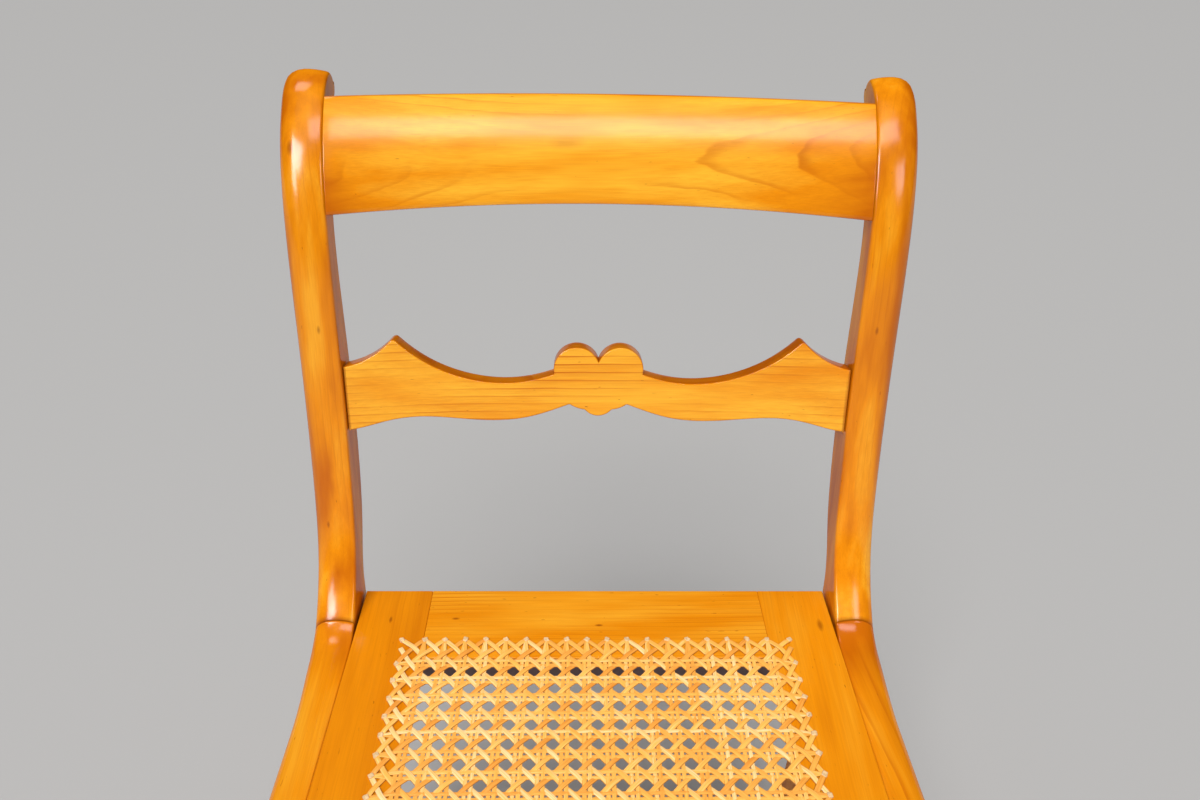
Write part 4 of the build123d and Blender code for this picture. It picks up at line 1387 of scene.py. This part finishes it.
class CHAIR_OT_stage(bpy.types.Operator):
    """Plain pale floor, soft light and a camera that looks down at the seat from the front"""

    bl_idname = "chair.stage"
    bl_label = "Stage"

    def execute(self, context):
        scene = context.scene
        scene.view_settings.view_transform = "Standard"
        self.floor(scene)
        self.light(scene)
        self.camera(scene)
        return {"FINISHED"}

    @staticmethod
    def floor(scene):
        """A wide floor, painted matt, one even pale grey to the eye."""
        reach = 40.0
        corners = [(-reach, -reach, 0), (reach, -reach, 0), (reach, reach, 0), (-reach, reach, 0)]
        mesh = bpy.data.meshes.new("floor")
        mesh.from_pydata(corners, [], [(0, 1, 2, 3)])
        floor = bpy.data.objects.new("floor", mesh)
        scene.collection.objects.link(floor)
        material, _, shader = fresh_material("pale_floor")
        shader.inputs["Base Color"].default_value = rgba(scene.chair_colours.floor)
        shader.inputs["Roughness"].default_value = 0.8
        mesh.materials.append(material)

    @classmethod
    def light(cls, scene):
        """Daylight and a soft sky do the lighting, and five windows show in the polish."""
        world = bpy.data.worlds.new("soft_room")
        scene.world = world
        world.use_nodes = True
        sky = world.node_tree.nodes["Background"]
        sky.inputs["Color"].default_value = (0.92, 0.96, 1.0, 1)
        sky.inputs["Strength"].default_value = 0.3
        world.cycles_visibility.glossy = False
        crest = (0.0, 0.24, 0.81)
        left_scroll = (-0.2, 0.2, 0.8)
        left_post = (-0.2, 0.15, 0.6)
        right_post = (0.2, 0.15, 0.6)
        cls.window("high_window", (0.2, -0.8, 2.32), crest, (1.1, 0.5), 7.5)
        cls.window("high_left_window", (-0.7, 0.32, 2.32), left_scroll, (0.5, 0.55), 6.0)
        cls.window("left_window", (-1.25, -1.5, 2.16), left_post, (1.1, 0.66), 24.0)
        cls.window("low_left_window", (-1.42, -1.5, 1.62), left_post, (0.7, 0.42), 16.0)
        cls.window("right_window", (1.0, -1.38, 1.65), right_post, (0.6, 0.5), 8.0)
        sun = bpy.data.lights.new("daylight", "SUN")
        sun.angle = radians(40)
        sun.energy = 3.5
        day = bpy.data.objects.new("daylight", sun)
        day.visible_glossy = False
        scene.collection.objects.link(day)
        turn = Matrix.Rotation(radians(-12), 4, "Z")
        tilt = Matrix.Rotation(radians(33), 4, "X")
        day.matrix_world = turn @ tilt

    @staticmethod
    def window(name, place, target, size, brightness):
        """A window that only shows in reflections, at a place and aimed at a target, in metres.

        The lamp's power is brightness times pi times the window's area, so a larger one is as bright.
        """
        light = bpy.data.lights.new(name, "AREA")
        light.shape = "RECTANGLE"
        light.size, light.size_y = size
        light.energy = brightness * pi * size[0] * size[1]
        light.color = (0.94, 0.93, 1.0)
        lamp = bpy.data.objects.new(name, light)
        lamp.visible_diffuse = False
        bpy.context.scene.collection.objects.link(lamp)
        away = unit(*(np.array(place) - np.array(target)))
        right = unit(*np.cross([0, 0, 1], away))
        matrix = np.eye(4)
        matrix[:3] = np.stack([right, np.cross(away, right), away, np.array(place)], axis=1)
        lamp.matrix_world = Matrix(matrix.tolist())

    @staticmethod
    def camera(scene):
        """A camera in front of the chair, turned by yaw and pitch and then rolled about its own axis."""
        camera = bpy.data.cameras.new("front_camera")
        camera.sensor_fit = "HORIZONTAL"
        camera.sensor_width = SENSOR_WIDTH
        camera.lens = SENSOR_WIDTH * FOCAL_PIXELS / PICTURE_WIDTH
        camera.clip_start = 0.01
        view = bpy.data.objects.new("front_camera", camera)
        scene.collection.objects.link(view)
        yaw = radians(CAMERA_YAW)
        pitch = radians(CAMERA_PITCH)
        roll = radians(CAMERA_ROLL)
        ahead = np.array([sin(yaw) * cos(pitch), cos(yaw) * cos(pitch), -sin(pitch)])
        right = np.array([cos(yaw), -sin(yaw), 0.0])
        down = np.cross(ahead, right)
        turned_right = cos(roll) * right + sin(roll) * down
        turned_down = -sin(roll) * right + cos(roll) * down
        place = np.array([CAMERA_ASIDE, SEAT_BACK - CAMERA_FORWARD, SEAT_TOP + CAMERA_RISE]) / MM
        matrix = np.eye(4)
        matrix[:3] = np.stack([turned_right, -turned_down, -ahead, place], axis=1)
        view.matrix_world = Matrix(matrix.tolist())
        scene.camera = view


class CHAIR_PT_panel(bpy.types.Panel):
    """Sidebar panel with the chair's sizes, colours and steps"""

    bl_idname = "CHAIR_PT_panel"
    bl_label = "Caned side chair"
    bl_space_type = "VIEW_3D"
    bl_region_type = "UI"
    bl_category = "Chair"

    def draw(self, context):
        for group in (context.scene.chair_sizes, context.scene.chair_colours):
            box = self.layout.box()
            for key in group.bl_rna.properties.keys():
                if key not in ("rna_type", "name"):
                    box.prop(group, key)
        for step in STEPS:
            self.layout.operator(step.bl_idname)


STEPS = [
    CHAIR_OT_stage,
    CHAIR_OT_rear_posts,
    CHAIR_OT_crest_rail,
    CHAIR_OT_cross_rail,
    CHAIR_OT_side_rails,
    CHAIR_OT_front_legs,
    CHAIR_OT_seat_frame,
    CHAIR_OT_cane,
    CHAIR_OT_pegs,
    CHAIR_OT_underseat,
]
CLASSES = [ChairSizes, ChairColours, *STEPS, CHAIR_PT_panel]


def register():
    """Add the classes and the chair's properties."""
    for made in CLASSES:
        bpy.utils.register_class(made)
    bpy.types.Scene.chair_sizes = PointerProperty(type=ChairSizes)
    bpy.types.Scene.chair_colours = PointerProperty(type=ChairColours)


def unregister():
    """Take the classes and the chair's properties away."""
    del bpy.types.Scene.chair_colours
    del bpy.types.Scene.chair_sizes
    for made in reversed(CLASSES):
        bpy.utils.unregister_class(made)


def main():
    """Dress the chair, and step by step."""
    register()
    for step in STEPS:
        group, name = step.bl_idname.split(".")
        getattr(getattr(bpy.ops, group), name)()


if __name__ == "__main__":
    main()
